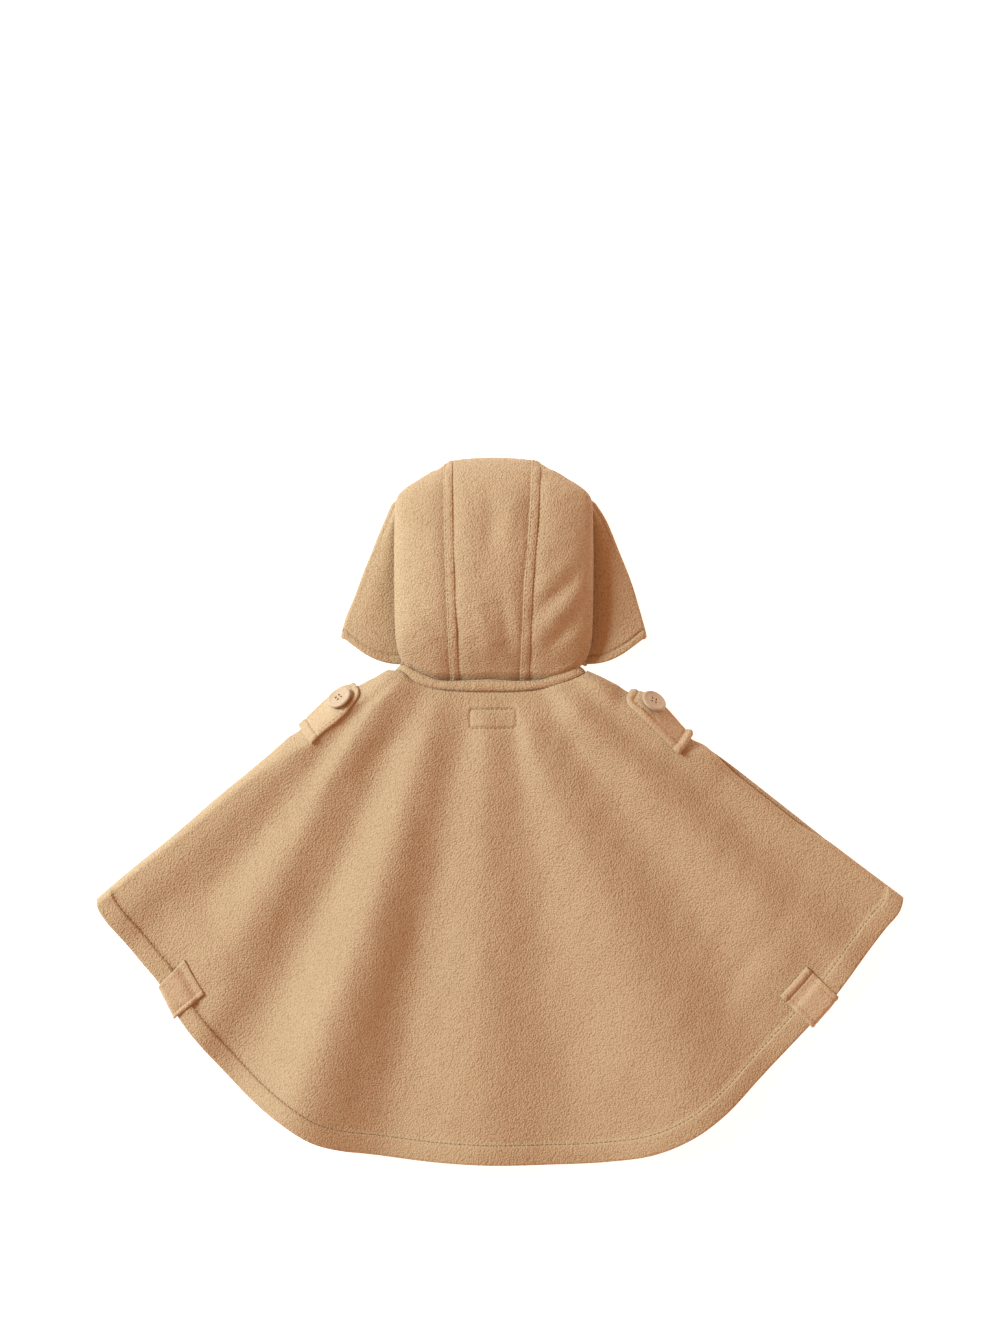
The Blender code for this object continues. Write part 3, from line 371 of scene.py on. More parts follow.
def fleeceMaterial(name, tones):
    look = fleeceLook
    material, tree, shader, place = newMaterial(name)
    curl = addNode(tree, "TexVoronoi", {"Scale": look["curl"], "Smoothness": 0.15}, feature="SMOOTH_F1")
    pile = addNode(tree, "TexNoise", {"Scale": look["pile"], "Detail": 3.0, "Roughness": 0.65})
    mottle = addNode(tree, "TexNoise", {"Scale": look["mottle"], "Detail": 3.0, "Roughness": 0.55})
    wander = addNode(tree, "TexNoise", {"Scale": look["wander"], "Detail": 2.0})
    shifted = addNode(tree, "MixRGB", {"Fac": look["wanderBy"]}, blend_type="ADD")
    grain = addNode(tree, "Math", {1: look["curlShare"]}, operation="MULTIPLY_ADD")
    fine = addNode(tree, "Math", {1: look["pileShare"]}, operation="MULTIPLY")
    tone = toneRamp(tree, (0.24, tones["light"]), (0.86, tones["dark"]), (0.52, tones["middle"]))
    patch = toneRamp(tree, (0.30, look["patch"]), (0.72, (1.0, 1.0, 1.0)))
    tinted = addNode(tree, "MixRGB", {"Fac": 1.0}, blend_type="MULTIPLY")
    bump = addNode(tree, "Bump", {"Strength": tones["bump"], "Distance": look["bumpDepth"]}, invert=True)
    for source, target in (
        (place, wander.inputs["Vector"]),
        (place, shifted.inputs["Color1"]),
        (place, mottle.inputs["Vector"]),
        (wander.outputs["Color"], shifted.inputs["Color2"]),
        (shifted.outputs["Color"], curl.inputs["Vector"]),
        (shifted.outputs["Color"], pile.inputs["Vector"]),
        (curl.outputs["Distance"], grain.inputs[0]),
        (pile.outputs["Fac"], fine.inputs[0]),
        (fine.outputs["Value"], grain.inputs[2]),
        (grain.outputs["Value"], tone.inputs["Fac"]),
        (grain.outputs["Value"], bump.inputs["Height"]),
        (mottle.outputs["Fac"], patch.inputs["Fac"]),
        (tone.outputs["Color"], tinted.inputs["Color1"]),
        (patch.outputs["Color"], tinted.inputs["Color2"]),
        (tinted.outputs["Color"], shader.inputs["Base Color"]),
        (bump.outputs["Normal"], shader.inputs["Normal"]),
    ):
        tree.links.new(source, target)
    setInputs(shader, look["surface"])
    return material


def plainMaterial(name, dark, light, scale, roughness, bumpDepth):
    material, tree, shader, place = newMaterial(name)
    cloud = addNode(tree, "TexNoise", {"Scale": scale, "Detail": 4.0, "Roughness": 0.6})
    tone = toneRamp(tree, (0.3, dark), (0.72, light))
    bump = addNode(tree, "Bump", {"Strength": 0.4, "Distance": bumpDepth})
    tree.links.new(place, cloud.inputs["Vector"])
    tree.links.new(cloud.outputs["Fac"], tone.inputs["Fac"])
    tree.links.new(cloud.outputs["Fac"], bump.inputs["Height"])
    tree.links.new(tone.outputs["Color"], shader.inputs["Base Color"])
    tree.links.new(bump.outputs["Normal"], shader.inputs["Normal"])
    setInputs(shader, {"Roughness": roughness})
    return material


fleece = fleeceMaterial("camelFleece", fleeceLook["fleece"])
pressedFleece = fleeceMaterial("pressedFleece", fleeceLook["trim"])
threadMaterial = plainMaterial("camelThread", (0.38, 0.235, 0.125), (0.52, 0.34, 0.195), 900.0, 0.7, 0.0001)
# thread painted near black: its darkness is painted shade for the stitch grooves along the hem and round the
# stitched box
paintedShadeThread = plainMaterial("paintedShadeThread", (0.20, 0.105, 0.05), (0.30, 0.17, 0.085), 900.0, 0.8, 0.0001)
resin = plainMaterial("buttonResin", (0.43, 0.325, 0.200), (0.50, 0.385, 0.245), 160.0, 0.46, 0.00003)


# shells and stitches

def gridNormals(points):
    normals = np.cross(np.gradient(points, axis=1), np.gradient(points, axis=0))
    return normals / np.maximum(np.linalg.norm(normals, axis=2, keepdims=True), 1e-9)


def outward(points, sample=np.s_[:]):
    # normals that point up where the sample lies
    normals = gridNormals(points)
    return normals * np.sign(np.median(normals[sample][..., 2]))


def addObject(name, data):
    made = bpy.data.objects.new(name, data)
    bpy.context.scene.collection.objects.link(made)
    return made


def placeMesh(name, vertices, faces, material):
    mesh = bpy.data.meshes.new(name)
    mesh.from_pydata(np.asarray(vertices) * 0.001, [], faces)
    mesh.polygons.foreach_set("use_smooth", np.ones(len(mesh.polygons), bool))
    work = bmesh.new()
    work.from_mesh(mesh)
    if work.calc_volume(signed=True) < 0:
        bmesh.ops.reverse_faces(work, faces=work.faces)
        work.to_mesh(mesh)
    work.free()
    mesh.materials.append(material)
    return addObject(name, mesh)


def clothShell(name, outer, inner, material, ring=False):
    # a sheet between two grids of points, closed round its edge
    rows, columns = outer.shape[:2]
    spots = np.arange(rows * columns).reshape(rows, columns)
    if ring:
        spots = np.concatenate([spots, spots[:1]])
    back = rows * columns
    a, b, c, d = spots[:-1, :-1], spots[:-1, 1:], spots[1:, 1:], spots[1:, :-1]
    top = np.stack([a, b, c, d], axis=-1).reshape(-1, 4)
    faces = [top, top[:, ::-1] + back]
    edges = [(spots[:-1, 0], spots[1:, 0], False), (spots[:-1, -1], spots[1:, -1], True)]
    if not ring:
        edges += [(spots[0, :-1], spots[0, 1:], True), (spots[-1, :-1], spots[-1, 1:], False)]
    for first, second, flip in edges:
        side = np.stack([first, second, second + back, first + back], axis=-1)
        faces.append(side[:, ::-1] if flip else side)
    vertices = np.concatenate([outer.reshape(-1, 3), inner.reshape(-1, 3)])
    return placeMesh(name, vertices, np.concatenate(faces).tolist(), material)


stitch = {
    "length": 3.3,
    "gap": 0.6,
    "thick": 0.62,
    "sides": 6,
    "shares": (0.0, 0.12, 0.5, 0.88, 1.0),
    "rises": (-0.30, 0.02, 0.2, 0.02, -0.30),
    "widths": (0.25, 0.85, 1.0, 0.85, 0.25),
    "stray": 0.15,
}


def stitchRun(line, normals):
    # rings of thread along a line of points, one little arch for each stitch
    line, normals = np.asarray(line, float), np.asarray(normals, float)
    travelled = lengthFromStart(line)
    starts = np.arange(stitch["gap"], travelled[-1] - stitch["length"], stitch["length"] + stitch["gap"])
    starts = starts + chance.uniform(-stitch["stray"], stitch["stray"], len(starts))
    at = starts[:, None] + np.array(stitch["shares"]) * stitch["length"]
    here, up = (np.stack([np.interp(at, travelled, values) for values in points.T], axis=-1)
                for points in (line, normals))
    up /= np.linalg.norm(up, axis=-1, keepdims=True)
    way = np.gradient(here, axis=1)
    way /= np.linalg.norm(way, axis=-1, keepdims=True)
    out = np.cross(way, up)[:, :, None]
    here, up = (here + up * np.array(stitch["rises"])[:, None])[:, :, None], up[:, :, None]
    widths = (np.array(stitch["widths"]) * stitch["thick"] / 2)[:, None, None]
    turns = (np.arange(stitch["sides"]) * math.tau / stitch["sides"])[:, None]
    ring = here + widths * (np.cos(turns) * out + np.sin(turns) * up)
    base = np.arange(ring.size // 3).reshape(ring.shape[:3])
    after = np.roll(base, -1, axis=2)
    quads = [np.stack([base[:, :-1], after[:, :-1], after[:, 1:], base[:, 1:]], axis=-1).reshape(-1, 4)]
    # the two ends are closed by quads across the small rings
    for ends, order in ((base[:, 0], -1), (base[:, -1], 1)):
        quads.append(np.concatenate([ends[:, [0, 1, 2, 3]], ends[:, [0, 3, 4, 5]]])[:, ::order])
    return ring.reshape(-1, 3), np.concatenate(quads)


def stitching(name, runs, thread):
    # one mesh of stitches from several lines of points and normals
    vertices, faces, used = [], [], 0
    for line, normals in runs:
        points, quads = stitchRun(line, normals)
        vertices.append(points)
        faces.append(quads + used)
        used += len(points)
    return placeMesh(name, np.concatenate(vertices), np.concatenate(faces).tolist(), thread)


def clothArea(piece):
    # one side of a closed sheet, in square metres
    return round(sum(face.area for face in piece.data.polygons) / 2, 4)


def settle(piece, slot, *nodes):
    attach(piece, "root")
    if nodes:
        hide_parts(*nodes)
    return piece


def sewn(piece, name, runs, slot, thread=None, others=(), **cut):
    # adds a sheet's stitches and prints the sheet's area
    threads = settle(stitching(name, runs, thread or threadMaterial), slot)
    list(others)
    print(piece.name, clothArea(piece), "m2")


# back panel

back = {
    "columns": 182,  # across the middle, between the shoulder folds
    "edgeSteps": (0.0, 0.02, 0.06, 0.12, 0.2, 0.29, 0.4, 0.52, 0.65, 0.79, 0.92, 1.05),
    "neckSteps": (0.0, 0.0012, 0.0028, 0.005, 0.0085, 0.0125, 0.017, 0.0225),
    "closeRows": (0.028, 0.094, 34),  # start, end and count of the rows round the stitched box
    "rowsAbove": 104,
    "hemSteps": (21.6, 20.6, 19.7, 18.9, 18.2, 17.7, 17.3, 17.0, 16.7, 16.3, 15.8, 15.1, 14.2, 13.0,
                 11.4, 9.6, 7.8, 6.0, 4.4, 3.0, 2.0, 1.2, 0.6, 0.2, 0.0),
    "hemRound": 2.4,
    "hemPull": 0.8,
    "hemSwell": 0.55,
    "stitchDepth": 1.15,
    "pucker": 0.24,
    "box": (-25.5, 13.6, 70.1, 86.3),  # left, right, bottom, top of the stitched box
    "boxCorner": 2.4,
    "boxDepth": 1.2,
    "boxSwell": 0.35,
    "unevenness": 0.55,
    "dimples": 0.22,
    "neckRound": 1.2,
    "seamLine": 0.7,
    "seamIn": 4.2,
    "flat": (0.72, 0.40),
}


def boxDistance(x, y):
    # distance from the stitched box, less than 0 inside it
    left, right, bottom, top = back["box"]
    corner = back["boxCorner"]
    qx = np.abs(x - (left + right) / 2) - (right - left) / 2 + corner
    qy = np.abs(y - (bottom + top) / 2) - (top - bottom) / 2 + corner
    outside = np.hypot(np.maximum(qx, 0), np.maximum(qy, 0)) - corner
    return outside + np.minimum(np.maximum(qx, qy), 0)


def boxOutline():
    left, right, bottom, top = back["box"]
    corner = back["boxCorner"]
    left, right, bottom, top = left + corner, right - corner, bottom + corner, top - corner
    turn = np.radians(np.arange(4)[:, None] * 90 + np.arange(7) * 15)
    middles = np.array([(right, top), (left, top), (left, bottom), (right, bottom)])
    around = (middles[:, None] + corner * np.stack([np.cos(turn), np.sin(turn)], axis=-1)).reshape(-1, 2)
    return resample(np.concatenate([around, around[:1]]), 260)[0].T


def backSurface(angle, reach):
    # top of the back cloth, with its soft dents, hem roll and stitched lines
    x, y = fromPolar(angle, reach)
    inside, box = fromHem(angle, reach), boxDistance(x, y)
    fromStitch = inside - garment["hemWidth"]
    toSides = [fromShoulder(side, angle, reach) for side in (-1, 1)]
    calm = ramp(toSides[0], 2, 26) * ramp(toSides[1], 2, 26) * ramp(inside, 1, 14)
    height = backHeight(angle, reach)
    height = height + back["unevenness"] * calm * ripple(x, y, 62, 3) * (0.4 + 0.6 * ramp(reach, 110, 250))
    height = height + back["dimples"] * calm * ripple(x, y, 19, 4)
    # the hem is a soft roll, drawn in along its stitching
    height = height - back["stitchDepth"] * dent(fromStitch, 1.1) * ramp(inside, 2, 8)
    height = height + back["hemSwell"] * dent(inside - 9.5, 6.0)
    height = height + back["pucker"] * ripple(angle * 7.4, 0.0, 9.0, 5) * dent(fromStitch, 7.0)
    height = height - back["boxDepth"] * dent(box, 1.0) + back["boxSwell"] * ramp(-box, 0.5, 3.5)
    height = height - back["neckRound"] * dent(reach - along(neckLine, "back", angle), 1.4)
    for side, toSide in zip((-1, 1), toSides):
        tip = shoulderTabs[sideName(side)]["tip"]
        upper = ramp(reach, 96, 104) * (1 - ramp(reach, tip - 14, tip - 4))
        height = height - back["seamLine"] * upper * dent(toSide - back["seamIn"], 1.1)
    return height


def panelRows(neck, short, shares, insides, start, settleAngles):
    # rows from the neckline down to the hem, the last ones at set distances inside it
    angles, reaches = [], []
    for row in range(len(shares) + len(insides) - 1):
        angle = start.copy()
        for _ in range(6):  # each outline is read at the angles that it gives
            hem, top = along(hemLine, "reach", angle) - short, along(neckLine, neck, angle)
            if row < len(shares):
                reach = top + (hem - insides[0] - top) * shares[row]
            else:
                reach = hem - insides[row - len(shares) + 1]
            settleAngles(angle, reach)
        angles.append(angle)
        reaches.append(reach)
    return np.array(angles), np.array(reaches)


def backGrid():
    edge = np.array(back["edgeSteps"])
    count = len(edge)
    first, last, close = back["closeRows"]
    even = last + (1 - last) * np.linspace(0, 1, back["rowsAbove"]) ** 1.05
    shares = np.concatenate([back["neckSteps"], np.linspace(first, last, close)[:-1], even])

    def settleAngles(angle, reach):
        roll = np.degrees(along(yokeShape, "roll", reach) / reach)
        left, right = (shoulderAngle(side, reach) - side * np.degrees(seamInset(side, reach) / reach)
                       for side in (-1, 1))
        angle[:count] = left[:count] + edge * roll[:count]
        angle[-count:] = right[-count:] - edge[::-1] * roll[-count:]
        angle[count - 1:1 - count] = np.linspace(angle[count - 1], angle[-count], back["columns"] + 2)

    start = np.linspace(-53, 54, 2 * count + back["columns"])
    return panelRows("back", 0.0, shares, back["hemSteps"], start, settleAngles)


def shellUnder(outer, thickness, floor):
    # the cloth's other side, never below what it lies on
    inner = outer - outward(outer) * thickness[..., None]
    inner[..., 2] = np.maximum(inner[..., 2], floor(*toPolar(inner[..., 0], inner[..., 1])))
    return inner


def backLine(angle, reach, lift=0.0):
    # points and normals on the back's surface
    point, aside, further = (np.stack([*fromPolar(a, r), backSurface(a, r)], axis=-1)
                             for a, r in ((angle, reach), (angle + 0.05, reach), (angle, reach + 0.4)))
    normals = np.cross(aside - point, further - point)
    normals *= np.sign(normals[..., 2:])
    normals /= np.linalg.norm(normals, axis=-1, keepdims=True)
    return point + (0, 0, lift), normals


def makeBack():
    angles, reaches = backGrid()
    outer = np.stack([*fromPolar(angles, reaches), backSurface(angles, reaches)], axis=2)
    inner = shellUnder(outer, backThickness(angles, reaches), backRest)
    # the turned edge of the hem is round
    steps = np.array(back["hemSteps"])
    hem = np.s_[-len(steps):, :, 2]
    share = back["hemPull"] * closeEdge(steps, back["hemRound"])[:, None]
    outer[hem], inner[hem] = drawTogether(outer[hem], inner[hem], share)
    turned = np.s_[-int(np.sum(steps < back["hemRound"])):, :, :2]
    inner[turned] = outer[turned]
    panel = settle(clothShell("backPanel", outer, inner, fleece), "fleece", "back_panel")
    angle = np.linspace(-51.6, 53.6, 1600)
    hemRun = backLine(angle, along(hemLine, "reach", angle) - garment["hemWidth"], 0.15)
    boxRun = backLine(*toPolar(*boxOutline()), 0.05)
    # the hem and box stitches use the thread painted dark, as painted shade in their grooves
    sewn(panel, "backStitching", [hemRun, boxRun], "fleece", paintedShadeThread,
         flat=back["flat"], held="laid", rests_on=["frontLeft", "frontRight"], area=0.208)


# fronts

front = {
    "rowsAbove": 46,
    "middle": 44,
    "edge": (0.0, 0.25, 0.6, 1.2, 2.4, 4.5, 8.0, 12.0, 18.0),
    "edgeRound": 1.2,
    "edgePull": 0.8,
    "hemSteps": (21.0, 19.5, 18.4, 17.6, 17.0, 16.4, 15.6, 14.0, 11.0, 8.0, 5.0, 3.0, 1.6, 0.7, 0.0),
    "edgeStitch": 10.0,  # topstitching beside the centre front
    "depth": 0.5,
    "threadIn": 0.28,
    "flat": (0.345, 0.40),
}


def underRun(x, y):
    # a line of stitches on the fronts' underside
    rise = frontUnder(*toPolar(x, y)) + front["threadIn"]
    return np.stack([x, y, rise], axis=1), np.tile([0.0, 0.0, -1.0], (len(x), 1))


def makeFront(side):
    edge, middle = np.array(front["edge"]), front["middle"]
    count, spread = len(edge), (np.arange(1, middle + 1) / middle) ** 0.8
    centre = garment["centreFrontX"] + side * garment["seamGap"] / 2 - garment["yokeX"]

    def settleAngles(angle, reach):
        outline = shoulderAngle(side, reach, 0.5 - 0.5 * seamInset(side, reach) / garment["seamShow"])
        angle[:count] = outline[:count] - side * np.degrees(edge / reach[:count])
        toCentre = np.degrees(np.arcsin(centre / reach[count:])) - angle[count - 1]
        angle[count:] = angle[count - 1] + toCentre * spread

    shares, start = np.linspace(0, 1, front["rowsAbove"] + 1), np.linspace(side * 52, side * 3, count + middle)
    angles, reaches = panelRows("front", garment["frontShort"], shares, front["hemSteps"], start, settleAngles)
    x, y = fromPolar(angles, reaches)
    inside = fromHem(angles, reaches) - garment["frontShort"]
    fromCentre = side * (x - garment["centreFrontX"])
    groove = dent(inside - garment["hemWidth"] + 1.5, 1.1) + dent(fromCentre - front["edgeStitch"], 1.4)
    outer = np.stack([x, y, frontTop(angles, reaches)], axis=2)
    inner = np.stack([x, y, frontUnder(angles, reaches) + front["depth"] * np.minimum(groove, 1)], axis=2)
    rim = np.s_[:, :count, 2]
    share = front["edgePull"] * closeEdge(edge, front["edgeRound"])
    outer[rim], inner[rim] = drawTogether(outer[rim], inner[rim], share)
    name = "front" + sideName(side).capitalize()
    panel = settle(clothShell(name, outer, inner, fleece), "fleece", "front_" + sideName(side))
    angle = np.linspace(side * 4.0, side * (50.8 if side < 0 else 52.6), 700)
    hemRun = underRun(*fromPolar(angle, along(hemLine, "reach", angle) - garment["hemWidth"]))
    straight = np.linspace(y[-1, -1] + 20, y[0, -1] - 6, 500)
    edgeRun = underRun(np.full(500, garment["centreFrontX"] + side * front["edgeStitch"]), straight)
    sewn(panel, name + "Stitching", [hemRun, edgeRun], "fleece",
         flat=front["flat"], held="laid", rests_on=["studioFloor"], area=0.098)


# hood

hood = {
    "form": columnsOf("drop contour flare height side under", [
        (0, 41.4, 41.4, 5.0, 5.0, 5.0), (1, 41.4, 41.4, 10.0, 6.8, 2.2), (3, 41.4, 41.4, 14.5, 8.2, 0.7),
        (5, 42, 42, 17.5, 9.2, 0.1), (8, 46, 46, 21, 10.4, 0), (11.5, 51.8, 51.8, 24.5, 11.6, 0),
        (18.3, 62.5, 62.5, 29.5, 13.2, 0), (25, 73.1, 73.1, 33.5, 14.6, 0), (31.9, 80.6, 82, 36.6, 15.8, 0),
        (38.7, 83.2, 86.3, 39, 16.6, 0), (52, 83.9, 93.5, 42.4, 17.6, 0), (66, 84.2, 99.6, 45, 18.2, 0),
        (79.5, 84.4, 104.9, 47, 18.6, 0), (100, 84.4, 113.2, 48.6, 18.8, 0), (120, 84.2, 120.2, 48.2, 18.4, 0),
        (140, 83.8, 127, 45, 17.4, 0), (152.6, 83.2, 130, 40.6, 16.2, 0), (163, 81.6, 131, 34.6, 14.6, 0),
        (171, 78.6, 131.5, 29, 13.2, 0), (178, 75, 132, 24, 12.6, 0), (184, 72, 132, 20.4, 12.2, 0),
        (192, 68, 132, 17.4, 12, 0),
    ]),
    "seams": columnsOf("drop left right", [
        (0, 38.6, 36.1), (30, 38.4, 35), (70, 37.6, 32.6), (110, 36.4, 29.4), (150, 34.8, 27.6), (192, 33, 26),
    ]),
    "nape": columnsOf("across drop", [
        (0, 190.6), (42, 191), (50, 190.8), (61, 187.4), (67.5, 183), (74, 176.6), (80, 173),
    ]),
    "rim": columnsOf("across drop", [
        (74, 175.6), (81.4, 175.6), (90.7, 174.4), (106.9, 167.9), (118, 161), (129, 153.6),
    ]),
    # across, drop, turn, length, width, rise
    "creases": (
        (50, 101, 47, 34, 9, 1.3), (53, 117, 47, 40, 8.5, -2.5), (57, 131, 45, 38, 8.5, 2.0),
        (60, 148, 42, 32, 8.5, -2.2), (-7, 148, -10, 36, 10, 1.5), (11, 146, -10, 34, 9.5, -2.3),
        (-3, 58, 2, 36, 10, -1.7), (14, 54, 4, 34, 9, 1.1), (-53, 141, -38, 36, 11, -1.8),
    ),
    "forehead": 152.0,
    "crownEnd": 5.0,
    "archPower": 0.85,
    "steps": {"arch": 9, "tuck": 3, "flare": 5, "fold": 4, "under": 3},  # a side panel's section, in parts
    "fine": {"arch": 66, "tuck": 10, "flare": 26, "fold": 14, "under": 12},
    "rimStitch": 7.6,
    "rimDepth": 1.3,
    "rimSwell": 0.5,
    "rimRound": 1.8,
    "rimPull": 0.85,
    "rimSpan": (74.5, 127.0),
    "rimFold": 4.0,
    "curl": 8.5,
    "crownRound": 3.3,
    "crownCorner": 2.4,
    "tapeWidth": 7.8,
    "tapeRise": 1.5,
    "tapeUnder": 0.6,
    "tapeGroove": 0.5,
    "seamDraw": 2.6,  # the panels puff out beside the drawn-in seams
    "napeSpan": 74.0,
    "napeDip": 5.5,
    "flareLean": 1.5,
    "flareValley": 6.5,
    "flareSwell": 3.6,
    "unevenness": 0.5,
    "dimples": 0.2,
    "flatSide": (0.20, 0.175),
    "flatStrip": (0.078, 0.40),
}


def crownShift(across, drop):
    # the crown's edge is rounded towards its corners
    reach = np.minimum(np.abs(across), 40.0) / 40.0
    corner = hood["crownCorner"] * ramp(np.abs(across), 36.0, 43.0)
    return (hood["crownRound"] * reach**2 + corner) * np.clip(1 - drop / 12, 0, 1)


def creaseRise(across, drop):
    total = np.zeros(np.broadcast(across, drop).shape)
    for at, down, turn, length, width, rise in hood["creases"]:
        cosine, sine = math.cos(math.radians(turn)), math.sin(math.radians(turn))
        dx, dy = across - at, drop - down
        lengthwise, crosswise = dy * cosine - dx * sine, dx * cosine + dy * sine
        total = total + rise * np.exp(-2 * ((lengthwise / length) ** 2 + (crosswise / width) ** 2))
    return total


def seamPlace(side, drop, away=0.0):
    return along(hood["seams"], sideName(side), drop) + away * garment["seamGap"] / 2


def underRise(drop):
    return np.maximum(along(hood["form"], "under", drop), 0.0)


def napeEdge(across):
    # the hood's lower edge, tucked under the neck band
    return along(hood["nape"], "drop", np.abs(across))


def archPlain(across, drop):
    # the hood's top with its creases, lower along the seams and by the neck band
    contour, rim, top = (along(hood["form"], column, drop) for column in ("contour", "side", "height"))
    share = np.clip(np.abs(across) / contour, 0, 1) ** (1 / hood["archPower"])
    arch = rim + (top - rim) * np.sqrt(np.maximum(1 - share**2, 0)) ** 0.9
    soft = ramp(1 - share, 0.0, 0.25) * ramp(drop, 14, 44) * (1 - ramp(drop, 170, 186))
    up = arch + creaseRise(across, drop) * soft
    for side in (-1, 1):
        up = up - hood["seamDraw"] * dent(side * across - seamPlace(side, drop), 9.0) * ramp(drop, 3, 34)
    dip = hood["napeDip"] * (1 - 0.8 * ramp(np.abs(across), 66, 73))
    return up - dip * (1 - ramp(napeEdge(across) - drop, 0, 9.0))


def archSurface(across, drop):
    # the hood's top with its dents, drawn in beside the taped seams
    share = np.clip(np.abs(across) / along(hood["form"], "contour", drop), 0, 1)
    soft = ramp(1 - share, 0.0, 0.2) * ramp(drop, 4, 24)
    dents = hood["unevenness"] * ripple(across, drop, 44, 21) + hood["dimples"] * ripple(across, drop, 15, 22)
    up = archPlain(across, drop) + soft * dents
    for side in (-1, 1):
        aside = np.abs(side * across - seamPlace(side, drop)) - hood["tapeWidth"] / 2
        up = up - hood["tapeGroove"] * dent(aside, 1.8) * ramp(drop, 1, 6)
    return up


def hoodPlace(side, across, drop, up):
    y = garment["crownY"] - drop - crownShift(across, drop)
    return np.stack(np.broadcast_arrays(garment["hoodX"] + side * across, y, up), axis=-1)


def sectionPoint(side, column, drop, turn):
    # one place on a side panel's section: over the top, tucked, flared, folded and back underneath
    steps, form, fold = hood["steps"], hood["form"], hood["rimFold"]
    contour, rise, under = along(form, "contour", drop), along(form, "side", drop), underRise(drop)
    step = column - steps["arch"]
    if step <= 0:
        across = contour * np.sin(turn) ** hood["archPower"]
        return across, archSurface(side * across, drop)
    lean = hood["flareLean"] * ramp(drop, 36, 56) * (1 - ramp(drop, 110, 140))
    flare = along(form, "flare", drop) + side * lean
    spread = ramp(flare - contour, 0.0, 4.0)
    seam = seamPlace(side, drop, 1)
    curl = np.minimum(np.minimum(hood["curl"], rise), (contour - seam) * 0.6)
    edge = np.maximum(flare, contour + fold)
    count = steps["tuck"] + steps["flare"] + steps["fold"]
    if step > count:
        start = contour - curl
        start = start + (edge - fold - start) * spread
        return start + (seam - start) * (step - count) / steps["under"], under
    part = step / count * math.pi / 2
    plain = contour - curl * (1 - math.cos(part)), under + (rise - under) * (1 - math.sin(part))
    tuck, valley = 0.8 + 4.2 * (1 - ramp(drop, 156, 174)), hood["flareValley"]
    if step <= steps["tuck"]:
        share = step / steps["tuck"]
        full = contour - tuck * math.sin(share * math.pi / 2) ** 1.3, rise + (valley - rise) * share
    elif step <= steps["tuck"] + steps["flare"]:
        share = (step - steps["tuck"]) / steps["flare"]
        across = contour - tuck + (edge - fold - contour + tuck) * share
        swell = hood["flareSwell"] + 0.5 * ripple(across, drop, 40, 31)
        full = across, valley + (2 * fold - valley) * share + swell * math.sin(share * math.pi)
    else:
        share = (step - steps["tuck"] - steps["flare"]) / steps["fold"] * math.pi
        full = edge - fold + fold * math.sin(share), fold + fold * math.cos(share)
    return tuple(a + (b - a) * spread for a, b in zip(plain, full))


def sideBottom(column, turn):
    # where each column ends: neck band, tuck, rim or forehead
    steps = hood["steps"]
    step = column - steps["arch"]
    if step <= 0:
        return napeEdge(hood["napeSpan"] * np.sin(turn) ** hood["archPower"])
    if step <= steps["tuck"]:
        start = float(napeEdge(hood["napeSpan"]))
        return start + (hood["rim"]["drop"][0] - start) * step / steps["tuck"]
    first, last = hood["rimSpan"]
    share = (step - steps["tuck"]) / steps["flare"]
    if share <= 1:
        return float(along(hood["rim"], "drop", first + (last - first) * share))
    share = (step - steps["tuck"] - steps["flare"]) / steps["fold"]
    start = float(along(hood["rim"], "drop", last))
    return start + (hood["forehead"] - start) * min(share, 1.0)


def sectionColumns():
    # places along the section, as close as each of its parts needs
    columns, start = [], 0
    for part in ("arch", "tuck", "flare", "fold", "under"):
        fine = hood["fine"][part]
        columns += [start + hood["steps"][part] * k / fine for k in range(fine)]
        start += hood["steps"][part]
    return columns + [float(start)]


def hoodSideGrid(side):
    steps, columns = hood["steps"], sectionColumns()
    rows = np.concatenate([np.linspace(0, 0.075, 17)[:-1], np.linspace(0.075, 0.975, 84)])
    shown = steps["arch"] + steps["tuck"] + steps["flare"] + 1
    grid = np.zeros((len(rows) + 4, len(columns), 3))
    for k, column in enumerate(columns):
        drop = np.full(len(rows), 170.0)
        for _ in range(4):
            contour = along(hood["form"], "contour", drop)
            seam = seamPlace(side, drop, 1)
            first = np.arcsin(np.minimum(seam / contour, 1.0) ** (1 / hood["archPower"]))
            turn = first + (math.pi / 2 - first) * min(column / steps["arch"], 1.0)
            bottom = sideBottom(column, turn)
            drop = bottom + (hood["crownEnd"] - bottom) * rows
        across, up = sectionPoint(side, column, drop, turn)
        if column == 0:
            across, up = seam, archSurface(side * seam, drop)
        if column > steps["arch"]:  # the hemmed rim and its stitched line
            inside, firm = bottom - drop, min((column - steps["arch"]) / 2.0, 1.0)
            outside = column <= shown
            groove = hood["rimDepth"] * dent(inside - hood["rimStitch"], 1.0)
            up = up - (1 if outside else -0.4) * firm * groove
            up = up + outside * firm * hood["rimSwell"] * dent(inside - 3.6, 2.6)
        grid[:len(rows), k] = hoodPlace(side, across, drop, up)
        # the last rows close on the seam that runs round the crown
        share = column / columns[-1]
        drop = np.array(hood["crownEnd"] * abs(1 - 2 * share) ** 1.4)
        seam = seamPlace(side, drop, 1)
        up = archSurface(side * seam, drop) if share < 0.5 else underRise(drop)
        part = np.arange(1, 5)[:, None] / 4
        grid[len(rows):, k] = grid[len(rows) - 1, k] * (1 - part) + hoodPlace(side, seam, drop, up) * part
    return grid


def roundRim(outer, inner, distance):
    # draws both skins together near a free edge, so that the edge is round
    share = hood["rimPull"] * closeEdge(distance, hood["rimRound"])
    return drawTogether(outer, inner, share[..., None])


